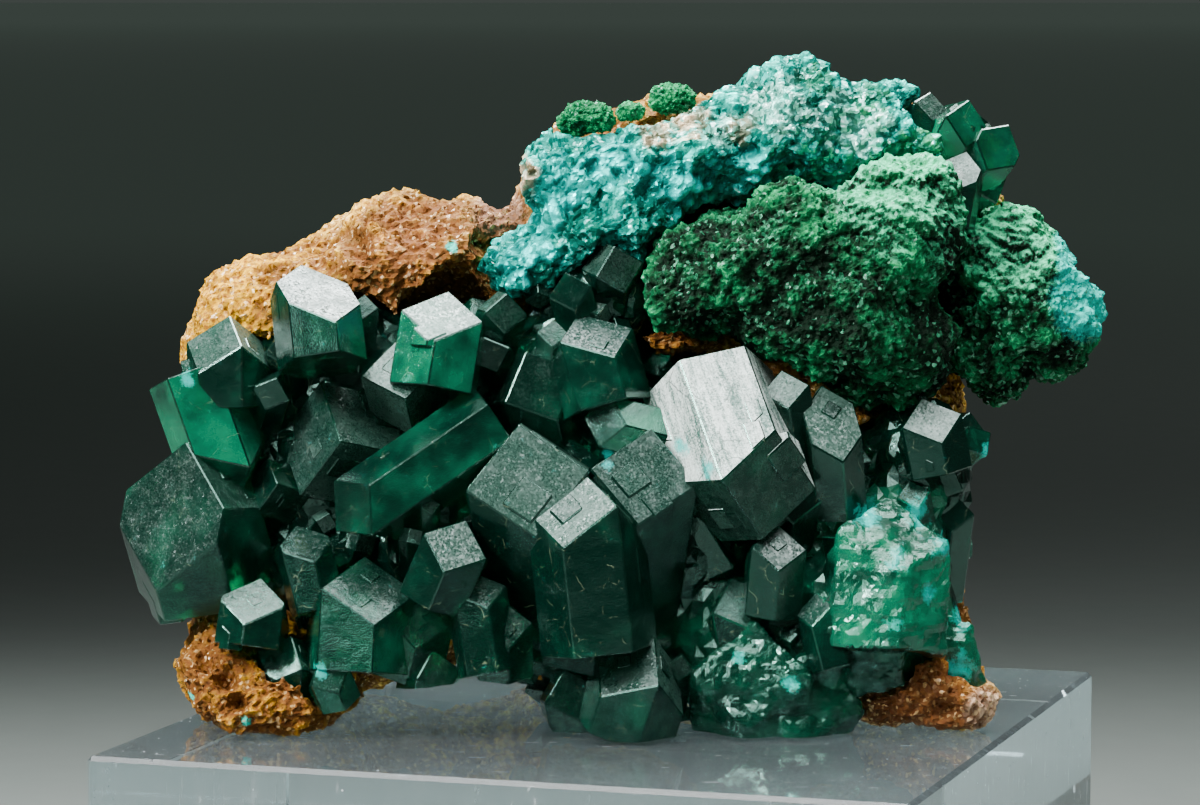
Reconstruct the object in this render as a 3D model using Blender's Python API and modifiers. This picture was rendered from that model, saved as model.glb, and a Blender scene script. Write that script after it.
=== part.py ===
"""Dioptase crystals on calcite, with velvet malachite, resting on a clear acrylic block.

Metres, +Z up, the front of the specimen faces -Y. The origin is the middle of the block's underside.
"""

import math

import bmesh
import bpy
from mathutils import Matrix, Vector, noise

MM = 0.001

# Driving dimensions of the block
BLOCK_SIDE = 63.5 * MM
BLOCK_HEIGHT = 19.0 * MM
BLOCK_TURN = math.radians(-18.0)
BLOCK_BEVEL = 0.35 * MM

# Space between neighbouring pieces, and the level where the specimen's feet end
GAP = 0.3 * MM
FOOT_LEVEL = BLOCK_HEIGHT + GAP

# Crystal habit of dioptase: a six-sided prism capped by three faces this far from the long axis
PRISM_SIDES = 6
CAP_FACES = 3
CAP_ANGLE = math.radians(51.0)

# Edges shorter than this are melted away, and faces flatter than this are joined
SHORTEST_EDGE = 0.001 * MM
FLAT_ANGLE = math.radians(0.2)

# How far a lumpy body's cutter grows on flat ground, and how much more it may grow at a sharp corner
CUTTER_GROWTH = 1.5 * GAP
CORNER_STRETCH = 1.5

# How far the cutter under the feet reaches, well past every piece
FLOOR_CUTTER_SIDE = 4 * BLOCK_SIDE

# How fine the lumpy bodies are, and how many triangles they keep
VOXEL = 0.9 * MM
MATRIX_TRIANGLES = 1200
CLUSTER_MASS_TRIANGLES = 300
CORNER_MASS_TRIANGLES = 40
CRUST_TRIANGLES = 480
MAIN_LOBE_TRIANGLES = 780
RIGHT_LOBE_TRIANGLES = 400
TUFT_TRIANGLES = 80

# Layers of noise that roughen the lumpy bodies: size and depth (mm), and where in the noise they start
CRYSTAL_ROOT_NOISE = ((4.0, 0.8, 1.0),)
VELVET_NOISE = ((5.0, 1.3, 3.0), (2.2, 0.9, 8.0))
TUFT_NOISE = ((1.5, 0.4, 5.0),)
CRUST_NOISE = ((4.0, 0.9, 1.0), (1.8, 0.5, 6.0))
ROCK_NOISE = ((9.0, 2.2, 2.0), (3.5, 1.3, 4.0))

# Each crystal: tip x, y, z above the block, half width, length (mm),
# lean to the right, nod to the front, turn about its axis (degrees), growth of its main face.
# The main face looks to the front when the turn is 0.
FRONT_CRYSTALS = (
    # left flank
    (-33.3, -8, 22.2, 5.1, 12, -14, 18, -42, 0.3),
    (-29.8, -8.5, 20.5, 5.4, 10, -22, 95, 0, -0.3),
    (-30.3, -5, 32, 3.5, 7, 0, 0, -40, 0),
    (-34.2, -5, 28.4, 1.6, 5, -60, 20, 0, 0),
    (-33.4, -5.5, 26.6, 1.5, 5, -30, 30, 10, 0),
    # upper left
    (-24.8, -4, 35.9, 3.5, 9, -8, -22, 28, 0.55),
    (-19.8, -4.5, 33.6, 1.4, 6, 5, 10, 0, 0),
    (-21.4, -10.5, 22.7, 5.2, 10, 0, 80, 20, 0),
    (-16.4, -10.5, 25.9, 3.7, 9, -10, 100, 60, 0),
    (-13.2, -7.5, 33.4, 3.5, 9, 10, 75, -5, 0),
    (-8.7, -6, 33.8, 2.0, 7, 15, 30, 20, 0),
    (-10.5, -6.5, 30.4, 1.9, 6, -20, 40, 0, 0),
    (-26.3, -6, 30.6, 1.6, 6, -5, 30, 10, 0),
    (-26.4, -8, 27.4, 1.7, 6, 20, 45, 0, 0),
    # middle left
    (-21.8, -11, 15.8, 3.3, 15, -124, 8, 30, 0),
    (-14.6, -12, 18.6, 0.9, 5, 0, 30, 20, 0),
    (-16.0, -12, 16.2, 1.0, 5, 0, 40, 45, 0),
    (-26.4, -8.5, 19.2, 2.6, 7, 10, 70, 30, 0),
    (-25, -9.5, 16.3, 2.7, 7, -15, -18, 20, 0.2),
    (-27.6, -10, 12.1, 2.9, 5.5, 8, -12, -10, 0.1),
    # the big pale face low on the left
    (-19.6, -9.5, 13.7, 4.4, 9, 3, -10, 16, 0),
    (-15.2, -10.5, 11.4, 3.2, 7, 12, 10, 10, 0),
    (-25.2, -11.5, 7.8, 2.6, 4.5, 5, 20, -35, 0),
    (-22.8, -13.8, 6.3, 1.9, 4, -20, 25, 15, 0),
    (-11.7, -12.5, 16.9, 3.1, 7, 23, 20, 0, 0),
    (-11.3, -11, 12.7, 2.5, 8, -10, -10, 20, 0),
    (-14.3, -12, 6.8, 2.4, 4, 10, 20, 40, 0),
    # under the crust
    (-0.4, -5.4, 37.4, 2.4, 6, 5, 10, 30, 0),
    (-4.2, -5.8, 35.4, 2.0, 5, -15, 25, 0, 0),
    # centre
    (-7.2, -8, 29.4, 3.7, 9, -12, 30, 20, 0),
    (-5, -6.5, 31.8, 1.5, 6, 5, 10, 0, 0),
    (-3.2, -5.5, 32.2, 3.8, 8, -16, -14, 30, 0),
    (-7.7, -12.5, 24.2, 5.5, 18, -9, 28, 0, 0),
    (-4.2, -12.5, 20.8, 4.5, 14, -6, -4, 8, 0),
    (-1.5, -10.5, 15.5, 4.6, 10, 3, 10, 0, 0),
    (-9, -12.5, 10.6, 2.5, 8, 0, -5, 0, 0),
    (-2.8, -9, 24.4, 2.4, 9, -75, 10, 10, 0),
    (2.4, -11.5, 23.8, 4.8, 16, 10, 30, 0, 0),
    (6.2, -10.5, 17, 4.2, 12, 5, 25, -15, 0),
    # low in the middle
    (-4.2, -12, 5.3, 2.6, 5, -10, 30, 10, 0),
    (2.7, -13.4, 8.2, 4.0, 8, 24, 24, -50, 0),
    (4.8, -12, 6.4, 1.3, 6, 10, 30, 0, 0),
    (8.6, -10.5, 12.2, 3.0, 9, -10, 10, 20, 0),
    # the largest crystal, its tip low and to the right
    (10.6, -14, 15.4, 4.9, 14.5, -20, 145, 15, 0),
    (12.5, -8, 28, 2.2, 10, -10, 5, 0, 0),
    (15.6, -8, 26.8, 2.4, 10, -5, 20, 15, 0.7),
    (13.6, -9, 20.2, 2.6, 8, 10, 20, 10, 0),
    (12.2, -11.8, 16.4, 2.5, 7, 5, 5, 5, 0),
    # lower right
    (20.6, -9, 18.3, 5.2, 12, 3, -12, 12, 0),
    (18.2, -11.5, 13, 4.0, 9, -8, 15, -20, 0),
    (23, -9.5, 11.5, 2.8, 8, 12, 15, 10, 0),
    (15, -12, 11.2, 2.0, 6, -15, -10, -30, 0),
    (17.4, -13.4, 10, 1.9, 6, 15, 20, 20, 0),
    (10.3, -12.5, 9.2, 5.4, 9, -2, 25, -10, 0),
    (15.6, -12.5, 7.2, 5.0, 8, 22, 28, 10, 0),
    # right edge
    (23.5, -5.5, 25.6, 2.9, 6, -12, 0, 14, 0),
    (27.4, -4.5, 24.4, 1.9, 6, 20, 20, 20, 0),
    (29, -5, 22.8, 1.6, 6, 60, 20, 0, 0),
    (26, -6, 20.2, 1.7, 6, 30, 40, 10, 0),
    (22.5, -6.5, 19.3, 1.6, 6, -10, 10, 10, 0),
    (26, -5, 18.2, 1.9, 9, 5, 0, 0, 0),
    (25.2, -9.5, 9.2, 1.8, 7, -14, 10, 20, 0),
)

TOP_RIGHT_CRYSTALS = (
    (24.6, 1.5, 49.2, 1.8, 6, 15, 0, 20, 0),
    (27.6, 1, 48.6, 2.6, 7, 25, 10, 30, 0),
    (30.8, 1.5, 46.6, 2.2, 8, 35, 10, 10, 0.3),
    (27.3, -0.5, 44.6, 2.0, 6, 10, 0, -20, 0.4),
    (30.6, 1, 42.4, 1.9, 6, 70, 20, 0, 0),
)

# Rounded masses: centre x, y, z above the block and half sizes (mm)
FRONT_MASS = (
    (-31, -0.5, 16.5, 4.2, 5.5, 7),
    (-28, -0.5, 26, 4.5, 5, 5),
    (-22, -0.5, 19, 9, 6.5, 9),
    (-21, 0, 29, 6.5, 5, 4.5),
    (-23.5, -2.5, 12, 5.5, 6, 5.5),
    (-1.5, 0.5, 33, 5.5, 5.5, 4),
    (-14, 0.5, 26, 8, 7, 6.5),
    (-13, 0, 14, 8.5, 9.5, 8.5),
    (-4, 0, 15, 9, 10, 11),
    (-4, 1, 27, 8, 6.5, 5),
    (5, 0, 14.5, 9, 10.5, 10),
    (7, 0, 24, 7, 6, 4.5),
    (0, -3.5, 5.5, 7, 7.5, 5),
    (10, -4, 6.5, 8.5, 8.5, 6.5),
    (14, -1, 18, 6, 7, 8),
    (17, -4, 8.5, 7.5, 9, 7),
    (21.5, -2, 13, 5.4, 7, 8),
    (23.4, -1.8, 19, 4.8, 5, 7),
    (24.4, -6.2, 6.4, 2.8, 4.8, 6),
)

# The hollow under the front of the specimen, where light comes through above the block
UNDERSIDE_HOLLOW = (-13.6, -10, -1.4, 9, 20, 5.6)

TOP_RIGHT_MASS = (
    (26.5, 2.5, 45, 3.5, 3, 3.5),
    (29, 3, 43.6, 2.4, 2.6, 3),
)

CRUST_MASS = (
    (-7, -1, 35.6, 4.2, 3.6, 2.6),
    (-2.6, -1.6, 37.6, 3.4, 3.6, 3.2),
    (1.6, -2.2, 38.4, 2.8, 3.2, 2.8),
    (-3, 0, 42.4, 5, 4.4, 4.2),
    (3, 0, 43, 5.4, 4.6, 4.4),
    (8.5, 1, 44.8, 5.6, 5.2, 4.6),
    (14, 2, 46.6, 6, 5.6, 5.4),
    (19.5, 2.5, 45.6, 5.4, 5.2, 4.6),
    (23.5, 2, 43.6, 3.6, 4, 3.6),
)

MAIN_LOBE_MASS = (
    (5, -4, 33.4, 3.9, 4.4, 3.6),
    (7.5, -3, 35.6, 5, 5, 4.4),
    (11.5, -4.5, 34.5, 5, 5.6, 5.4),
    (14.5, -4, 37.2, 5.6, 5.6, 5.2),
    (17.5, -5, 33, 6.2, 6.2, 5.8),
    (21.2, -4, 37.6, 5.8, 5.6, 5.6),
    (22.6, -3, 40.4, 3.8, 4.6, 3.8),
    (21.6, -4, 31, 4.6, 5.2, 4.8),
    (20, -4, 28, 4.2, 4.4, 3),
    (23, -3.4, 27.4, 2.4, 3, 2.8),
)

RIGHT_LOBE_MASS = (
    (29.6, 2.6, 36.4, 3.8, 4, 4.2),
    (31.5, 2, 33, 5.4, 5.6, 5.6),
    (34.2, 2, 31.2, 4.2, 4.6, 4.4),
    (29.4, 1.6, 28.8, 3.4, 4, 3.8),
    (28.6, 2.6, 32.4, 3, 4, 4),
)

MATRIX_MASS = (
    # back and core of the specimen
    (-20, 6, 26, 14.5, 11, 13),
    (-4, 8, 22, 18, 13, 17),
    (14, 8, 26, 14, 12, 18),
    (-15, 4, 33.5, 11, 8, 8.2),
    (-25, 3, 29, 9.5, 7.5, 7),
    (4, 6, 40, 12, 8, 8),
    (16, 7, 42, 12, 8, 8.4),
    (25, 7, 36, 8, 6.5, 8),
    # brown rock seen in the hollows
    (19.5, -1, 21.5, 4.5, 4, 6),
    (4.5, -1.2, 31.2, 4.5, 3.6, 3.4),
    (-16, -0.5, 34, 6, 4, 5),
    # left foot
    (-20, 8.5, 13, 13, 8.5, 13),
    (-27, 0, 6.5, 7, 10, 7.5),
    (-30, -6.5, 4.4, 4.6, 6, 5.2),
    (-25.5, -8.4, 2.8, 6.2, 4.6, 3.4),
    # right foot
    (21.5, -6, 4.6, 5, 7, 5.4),
    (20, 2, 8, 8, 9, 8.5),
    (25.2, -8.6, 1.6, 3.4, 3.6, 2.2),
    # back foot
    (-4, 14, 7, 13, 8, 8),
)

# Velvet tufts on the crest: name and masses
TUFTS = (
    ("malachite_tuft_left", ((-3.6, 1, 47, 1.7, 2, 1.5), (-2, 1.2, 47.2, 1.7, 1.9, 1.4))),
    ("malachite_tuft_middle", ((0.9, 1.2, 47.6, 1.5, 1.4, 0.9),)),
    ("malachite_tuft_right", ((4, 1.6, 48.6, 1.9, 1.8, 1.4), (5.2, 1.8, 48.6, 1.3, 1.4, 1.3))),
)

# Colour, roughness and metallic value of each material
FINISHES = {
    "acrylic": ((0.92, 0.95, 0.95), 0.03, 0.0),
    "calcite": ((0.66, 0.45, 0.24), 0.75, 0.0),
    "dioptase": ((0.0, 0.20, 0.12), 0.15, 0.0),
    "dioptase_crust": ((0.10, 0.62, 0.60), 0.35, 0.0),
    "malachite": ((0.05, 0.26, 0.12), 0.85, 0.0),
}


def clear_scene():
    """Removes whatever the file holds."""
    for old in list(bpy.data.objects):
        bpy.data.objects.remove(old, do_unlink=True)


def new_collection(name):
    group = bpy.data.collections.new(name)
    bpy.context.scene.collection.children.link(group)
    return group


def material(finish):
    """One Principled material for each kind of mineral."""
    mat = bpy.data.materials.get(finish)
    if mat is None:
        colour, roughness, metallic = FINISHES[finish]
        mat = bpy.data.materials.new(finish)
        mat.use_nodes = True
        shader = mat.node_tree.nodes["Principled BSDF"]
        shader.inputs["Base Color"].default_value = (*colour, 1.0)
        shader.inputs["Roughness"].default_value = roughness
        shader.inputs["Metallic"].default_value = metallic
        mat.diffuse_color = (*colour, 1.0)
    return mat


def new_object(name, bm, group, finish=None):
    """Turns a bmesh into an object of the given collection."""
    mesh = bpy.data.meshes.new(name)
    bm.to_mesh(mesh)
    bm.free()
    obj = bpy.data.objects.new(name, mesh)
    group.objects.link(obj)
    if finish:
        mesh.materials.append(material(finish))
    return obj


def evaluated(obj):
    """The object's mesh after its modifiers, as a bmesh, with the modifiers removed."""
    graph = bpy.context.evaluated_depsgraph_get()
    bm = bmesh.new()
    bm.from_mesh(obj.evaluated_get(graph).to_mesh())
    obj.modifiers.clear()
    return bm


def store(bm, obj):
    bm.to_mesh(obj.data)
    bm.free()
    obj.data.update()


def as_cutter(obj):
    obj.hide_render = True
    obj.display_type = "WIRE"
    return obj


# Crystals

def crystal(spec, grow=0.0):
    """One crystal as a bmesh: a prism whose end is cut by the planes of its cap, through its tip."""
    x, y, z, half_width, length, lean, nod, turn, growth = spec
    half_width = half_width * MM
    length = length * MM + grow
    reach = half_width + grow / math.cos(math.pi / PRISM_SIDES)
    bm = bmesh.new()
    bmesh.ops.create_cone(bm, segments=PRISM_SIDES, radius1=reach, radius2=reach, depth=length + reach,
                          cap_ends=True)
    bmesh.ops.translate(bm, verts=bm.verts, vec=(0.0, -growth * half_width, (reach - length) / 2.0))
    for step in range(CAP_FACES):
        side = math.radians(-90.0 + 360.0 / CAP_FACES * step)
        flat = math.sin(CAP_ANGLE)
        normal = Vector((math.cos(side) * flat, math.sin(side) * flat, math.cos(CAP_ANGLE)))
        geom = bm.verts[:] + bm.edges[:] + bm.faces[:]
        bmesh.ops.bisect_plane(bm, geom=geom, plane_co=normal * grow, plane_no=normal, clear_outer=True)
        rim = [edge for edge in bm.edges if edge.is_boundary]
        bmesh.ops.holes_fill(bm, edges=rim, sides=0)
    bmesh.ops.remove_doubles(bm, verts=bm.verts, dist=SHORTEST_EDGE)
    bmesh.ops.triangulate(bm, faces=bm.faces)
    bmesh.ops.recalc_face_normals(bm, faces=bm.faces)
    place = Matrix.Translation((x * MM, y * MM, z * MM + BLOCK_HEIGHT))
    pose = Matrix.Rotation(math.radians(lean), 4, "Y") @ Matrix.Rotation(math.radians(nod), 4, "X")
    bmesh.ops.transform(bm, verts=bm.verts, matrix=place @ pose @ Matrix.Rotation(math.radians(turn), 4, "Z"))
    return bm


def ellipsoid(spec, detail=3):
    """A rounded mass as a bmesh."""
    x, y, z, rx, ry, rz = spec
    bm = bmesh.new()
    bmesh.ops.create_icosphere(bm, subdivisions=detail, radius=1.0)
    bmesh.ops.scale(bm, verts=bm.verts, vec=(rx * MM, ry * MM, rz * MM))
    bmesh.ops.translate(bm, verts=bm.verts, vec=(x * MM, y * MM, z * MM + BLOCK_HEIGHT))
    return bm


def gather(parts):
    """Puts several bmeshes side by side in one."""
    whole = bmesh.new()
    for part in parts:
        carrier = bpy.data.meshes.new("carrier")
        part.to_mesh(carrier)
        part.free()
        whole.from_mesh(carrier)
        bpy.data.meshes.remove(carrier)
    return whole


def boolean(obj, cutter, operation, solver="EXACT"):
    """Joins or cuts an object by another, and keeps the result in its mesh."""
    mod = obj.modifiers.new(operation.lower(), "BOOLEAN")
    mod.operation = operation
    mod.solver = solver
    if solver == "EXACT":
        mod.use_self = operation == "DIFFERENCE"
    mod.object = cutter
    bm = evaluated(obj)
    store(bm, obj)


def keep_largest(obj):
    """Leaves only the biggest connected body, so that no crumb of a cut floats loose."""
    bm = bmesh.new()
    bm.from_mesh(obj.data)
    left = set(bm.verts)
    bodies = []
    while left:
        start = left.pop()
        body = {start}
        front = [start]
        while front:
            vert = front.pop()
            for edge in vert.link_edges:
                other = edge.other_vert(vert)
                if other in left:
                    left.discard(other)
                    body.add(other)
                    front.append(other)
        bodies.append(body)
    bodies.sort(key=len, reverse=True)
    for body in bodies[1:]:
        bmesh.ops.delete(bm, geom=list(body), context="VERTS")
    bmesh.ops.dissolve_limit(bm, angle_limit=FLAT_ANGLE, verts=bm.verts, edges=bm.edges)
    bmesh.ops.triangulate(bm, faces=bm.faces)
    store(bm, obj)


def triangle_count(obj):
    return sum(len(face.vertices) - 2 for face in obj.data.polygons)


# Lumpy bodies

def roughen(bm, layers):
    """Moves each vertex along its normal by layers of noise, each (size, depth, seed)."""
    bm.normal_update()
    moves = []
    for vert in bm.verts:
        lift = 0.0
        for size, depth, seed in layers:
            lift += depth * MM * noise.noise(vert.co / (size * MM) + Vector((seed, 0.0, 0.0)))
        moves.append(vert.normal * lift)
    for vert, move in zip(bm.verts, moves):
        vert.co += move


def lumpy(name, masses, layers, triangles, group, finish):
    """Melts rounded masses into one skin, roughens it and brings it to a number of triangles."""
    obj = new_object(name, gather([ellipsoid(spec) for spec in masses]), group, finish)
    melt = obj.modifiers.new("melt", "REMESH")
    melt.mode = "VOXEL"
    melt.voxel_size = VOXEL
    bm = evaluated(obj)
    roughen(bm, layers)
    store(bm, obj)
    thin = obj.modifiers.new("thin", "DECIMATE")
    thin.ratio = min(1.0, triangles / triangle_count(obj))
    bm = evaluated(obj)
    bmesh.ops.triangulate(bm, faces=bm.faces)
    store(bm, obj)
    return obj


def grown_copy(obj, group):
    """A copy of a lumpy body, a little bigger all round, to cut its neighbour with."""
    bm = bmesh.new()
    bm.from_mesh(obj.data)
    bm.normal_update()
    for vert in bm.verts:
        vert.co += vert.normal * CUTTER_GROWTH * min(vert.calc_shell_factor(), CORNER_STRETCH)
    return as_cutter(new_object(obj.name + "_cutter", bm, group))


# The pieces

def build_block(group):
    """The clear block, with fine bevels along its polished edges."""
    bm = bmesh.new()
    bmesh.ops.create_cube(bm, size=1.0)
    bmesh.ops.scale(bm, verts=bm.verts, vec=(BLOCK_SIDE, BLOCK_SIDE, BLOCK_HEIGHT))
    bmesh.ops.translate(bm, verts=bm.verts, vec=(0.0, 0.0, BLOCK_HEIGHT / 2.0))
    obj = new_object("acrylic_base", bm, group, "acrylic")
    obj.rotation_euler = (0.0, 0.0, BLOCK_TURN)
    edge = obj.modifiers.new("polished_edges", "BEVEL")
    edge.width = BLOCK_BEVEL
    edge.segments = 1
    return obj


def build_floor_cutters(group):
    """What is taken away below the specimen: all under its feet, and the hollow at the front."""
    bm = bmesh.new()
    bmesh.ops.create_cube(bm, size=1.0)
    bmesh.ops.scale(bm, verts=bm.verts, vec=(FLOOR_CUTTER_SIDE, FLOOR_CUTTER_SIDE, BLOCK_HEIGHT))
    bmesh.ops.translate(bm, verts=bm.verts, vec=(0.0, 0.0, FOOT_LEVEL - BLOCK_HEIGHT / 2.0))
    floor = as_cutter(new_object("floor_cutter", bm, group))
    hollow = as_cutter(new_object("hollow_cutter", ellipsoid(UNDERSIDE_HOLLOW, detail=2), group))
    return [floor, hollow]


def grow_crystals(obj, crystals, grow, cutters, solver="EXACT"):
    """Joins the crystals to the mass they grow from, one after the other."""
    for spec in crystals:
        single = new_object("crystal", crystal(spec, grow), cutters)
        boolean(obj, single, "UNION", solver)
        bpy.data.objects.remove(single, do_unlink=True)


def build_crystals(name, crystals, masses, triangles, group, cutters, below):
    """Crystals grown into each other and into the mass behind them, and what makes room for them."""
    obj = lumpy(name, masses, CRYSTAL_ROOT_NOISE, triangles, group, "dioptase")
    room = grown_copy(obj, cutters)
    grow_crystals(obj, crystals, 0.0, cutters)
    grow_crystals(room, crystals, GAP, cutters, "MANIFOLD")
    for cutter in below:
        boolean(obj, cutter, "DIFFERENCE")
    keep_largest(obj)
    return room


def build_lumps(group):
    """The velvet lobes and tufts, the turquoise crust and the rock, each before it is fitted."""
    rows = [
        ("malachite_main_lobe", MAIN_LOBE_MASS, VELVET_NOISE, MAIN_LOBE_TRIANGLES, "malachite"),
        ("malachite_right_lobe", RIGHT_LOBE_MASS, VELVET_NOISE, RIGHT_LOBE_TRIANGLES, "malachite"),
    ]
    for name, masses in TUFTS:
        rows.append((name, masses, TUFT_NOISE, TUFT_TRIANGLES, "malachite"))
    rows.append(("dioptase_top_crust", CRUST_MASS, CRUST_NOISE, CRUST_TRIANGLES, "dioptase_crust"))
    rows.append(("calcite_matrix", MATRIX_MASS, ROCK_NOISE, MATRIX_TRIANGLES, "calcite"))
    return [lumpy(name, masses, layers, count, group, finish) for name, masses, layers, count, finish in rows]


def main():
    clear_scene()
    group = new_collection("dioptase")
    cutters = new_collection("cutters")
    build_block(group)
    below = build_floor_cutters(cutters)
    rooms = []
    for name, crystals, masses, triangles in (
            ("dioptase_front_cluster", FRONT_CRYSTALS, FRONT_MASS, CLUSTER_MASS_TRIANGLES),
            ("dioptase_top_right_crystals", TOP_RIGHT_CRYSTALS, TOP_RIGHT_MASS, CORNER_MASS_TRIANGLES)):
        rooms.append(build_crystals(name, crystals, masses, triangles, group, cutters, below))
    lumps = build_lumps(group)
    for place, piece in enumerate(lumps):
        is_rock = place == len(lumps) - 1
        for cutter in rooms + (below if is_rock else []):
            boolean(piece, cutter, "DIFFERENCE", "MANIFOLD" if is_rock else "EXACT")
        keep_largest(piece)
        if not is_rock:
            rooms.append(grown_copy(piece, cutters))
    for obj in group.objects:
        print(obj.name, triangle_count(obj))


main()
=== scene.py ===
# %% [markdown]
# # A dioptase specimen, dressed for its portrait
#
# Dioptase grows as short six-sided prisms that end in three slanting faces. Here a crowd of them covers
# a lump of calcite rock, with a turquoise crust above, velvety malachite on the right, and a clear
# acrylic block underneath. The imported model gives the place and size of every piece; this lesson gives
# each one its real surface. Lists of sizes are in millimetres, with heights above the top of the block,
# and `MM` turns them into Blender's metres.

# %% Loading the frame
import math
import random
from collections import namedtuple
from types import SimpleNamespace

import bmesh
import bpy
from mathutils import Matrix, Vector, noise


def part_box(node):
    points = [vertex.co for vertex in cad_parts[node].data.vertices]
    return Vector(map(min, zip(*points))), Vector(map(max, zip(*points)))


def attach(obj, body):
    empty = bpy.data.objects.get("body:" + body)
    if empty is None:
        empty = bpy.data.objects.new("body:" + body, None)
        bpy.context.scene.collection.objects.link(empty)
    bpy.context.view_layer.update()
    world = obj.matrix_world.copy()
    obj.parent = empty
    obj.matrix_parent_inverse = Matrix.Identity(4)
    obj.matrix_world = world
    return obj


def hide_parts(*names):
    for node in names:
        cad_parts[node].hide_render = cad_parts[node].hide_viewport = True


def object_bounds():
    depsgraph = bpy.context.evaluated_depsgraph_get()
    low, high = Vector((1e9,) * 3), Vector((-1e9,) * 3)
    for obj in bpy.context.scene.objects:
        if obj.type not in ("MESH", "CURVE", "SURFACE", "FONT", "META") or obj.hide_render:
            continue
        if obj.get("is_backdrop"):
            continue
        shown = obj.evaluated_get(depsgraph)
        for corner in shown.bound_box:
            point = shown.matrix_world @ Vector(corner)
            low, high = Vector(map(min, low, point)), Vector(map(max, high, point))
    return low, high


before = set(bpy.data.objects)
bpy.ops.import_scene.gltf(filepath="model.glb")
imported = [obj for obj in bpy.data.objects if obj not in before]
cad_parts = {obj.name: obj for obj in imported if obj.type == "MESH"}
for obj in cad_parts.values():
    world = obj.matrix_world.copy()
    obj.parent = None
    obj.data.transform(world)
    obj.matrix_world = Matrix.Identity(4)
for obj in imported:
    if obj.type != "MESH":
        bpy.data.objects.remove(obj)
cad_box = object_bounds()
MM = 0.001
BLOCK_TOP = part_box("acrylic_base")[1][2]
print("block top at", round(BLOCK_TOP / MM, 2), "mm")

# %% [markdown]
# ## Helpers for meshes
#
# Every piece ends as one mesh whose object sits at the origin, rides on the body `root` and stands for
# its solid, so one helper does all of that. Shapes are built as bmesh data, but modifiers such as Remesh
# and Boolean work on objects. A second helper carries a bmesh through a few modifiers and back.

# %% A finished piece
def finished(name, bm, finish, node):
    """Turns a bmesh into a piece of the specimen that stands for the given solid."""
    bm.normal_update()
    mesh = bpy.data.meshes.new(name)
    bm.to_mesh(mesh)
    bm.free()
    piece = bpy.data.objects.new(name, mesh)
    bpy.context.scene.collection.objects.link(piece)
    mesh.materials.append(finish)
    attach(piece, "root")
    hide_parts(node)
    triangles = sum(len(face.vertices) - 2 for face in mesh.polygons)
    print(name, "has", triangles, "triangles")


# %% A bmesh carried through modifiers
def applied(bm, *modifiers):
    """The bmesh after some modifiers, each given as (type, settings)."""
    mesh = bpy.data.meshes.new("work")
    bm.to_mesh(mesh)
    bm.free()
    work = bpy.data.objects.new("work", mesh)
    bpy.context.scene.collection.objects.link(work)
    for kind, settings in modifiers:
        modifier = work.modifiers.new(kind.lower(), kind)
        for key, value in settings.items():
            setattr(modifier, key, value)
    result = bmesh.new()
    result.from_mesh(work.evaluated_get(bpy.context.evaluated_depsgraph_get()).to_mesh())
    bpy.data.objects.remove(work, do_unlink=True)
    bpy.data.meshes.remove(mesh)
    return result


# %% [markdown]
# ## Layers of relief
#
# A natural surface is rough at several scales at once: wide swellings, lumps on them, grains on the
# lumps. A displacement image would need UV maps and a picture. Noise needs neither, and it moves real
# vertices, so that the relief is in the mesh too. `cloud` gives soft swellings. `grains` turns every
# Voronoi cell into a small block with its own pose, which looks like a crust of crystals. `relief` lifts
# each vertex along its normal by whatever sum of layers a piece asks for.

# %% Clouds, grains and lifting
# without a seed, noise_vector is offset by the clock and no two runs are the same
NOISE_SEED = 1
noise.seed_set(NOISE_SEED)


def cloud(place, size, seed=0.0):
    """A soft swelling, from about -1 to 1, with patches of the given size."""
    return noise.noise(place / (size * MM) + Vector((seed, 0.0, 0.0)))


def grains(place, size, seed):
    """Height of a crust of little crystals, each cell a small block turned its own way."""
    spot = place / (size * MM) + Vector((seed, seed * 1.7, 0.0))
    _, centres = noise.voronoi(spot)
    offset = spot - centres[0]
    first = noise.noise_vector(centres[0] * 5.3).normalized()
    second = first.orthogonal().normalized()
    third = first.cross(second)
    return 0.5 - max(abs(offset.dot(first)), abs(offset.dot(second)), abs(offset.dot(third)))


def relief(bm, height):
    """Lifts each vertex along its normal. Returns each vertex's lift in millimetres."""
    bm.normal_update()
    lifts = [height(vert.co) for vert in bm.verts]
    for vert, lift in zip(bm.verts, lifts):
        vert.co += vert.normal * (lift * MM)
    return lifts


# %% [markdown]
# ## Shader maths as expressions
#
# A material is easier to read when its maths looks like maths. `Wire` wraps a socket, so that
# `height * 2 - 0.5` adds its Math nodes by itself. `Finish.node` adds any other node: its settings
# come first, then the values or wires of its sockets. The patterns that several minerals share, such as
# noise, cells, spots and a skin of tiny facets, are methods of `Finish`.

# %% A socket that takes part in sums
class Wire:
    """A socket's output that can be added, subtracted and multiplied."""

    def __init__(self, finish, socket):
        self.finish = finish
        self.socket = socket

    def maths(self, operation, *values):
        return self.finish.node("ShaderNodeMath", {"operation": operation}, *values)

    def __add__(self, other):
        return self.maths("ADD", self, other)

    def __sub__(self, other):
        return self.maths("SUBTRACT", self, other)

    def __rsub__(self, other):
        return self.maths("SUBTRACT", other, self)

    def __mul__(self, other):
        return self.maths("MULTIPLY", self, other)

    def clamped(self):
        return self.finish.node("ShaderNodeClamp", {}, self)

    __radd__ = __add__
    __rmul__ = __mul__


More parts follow.
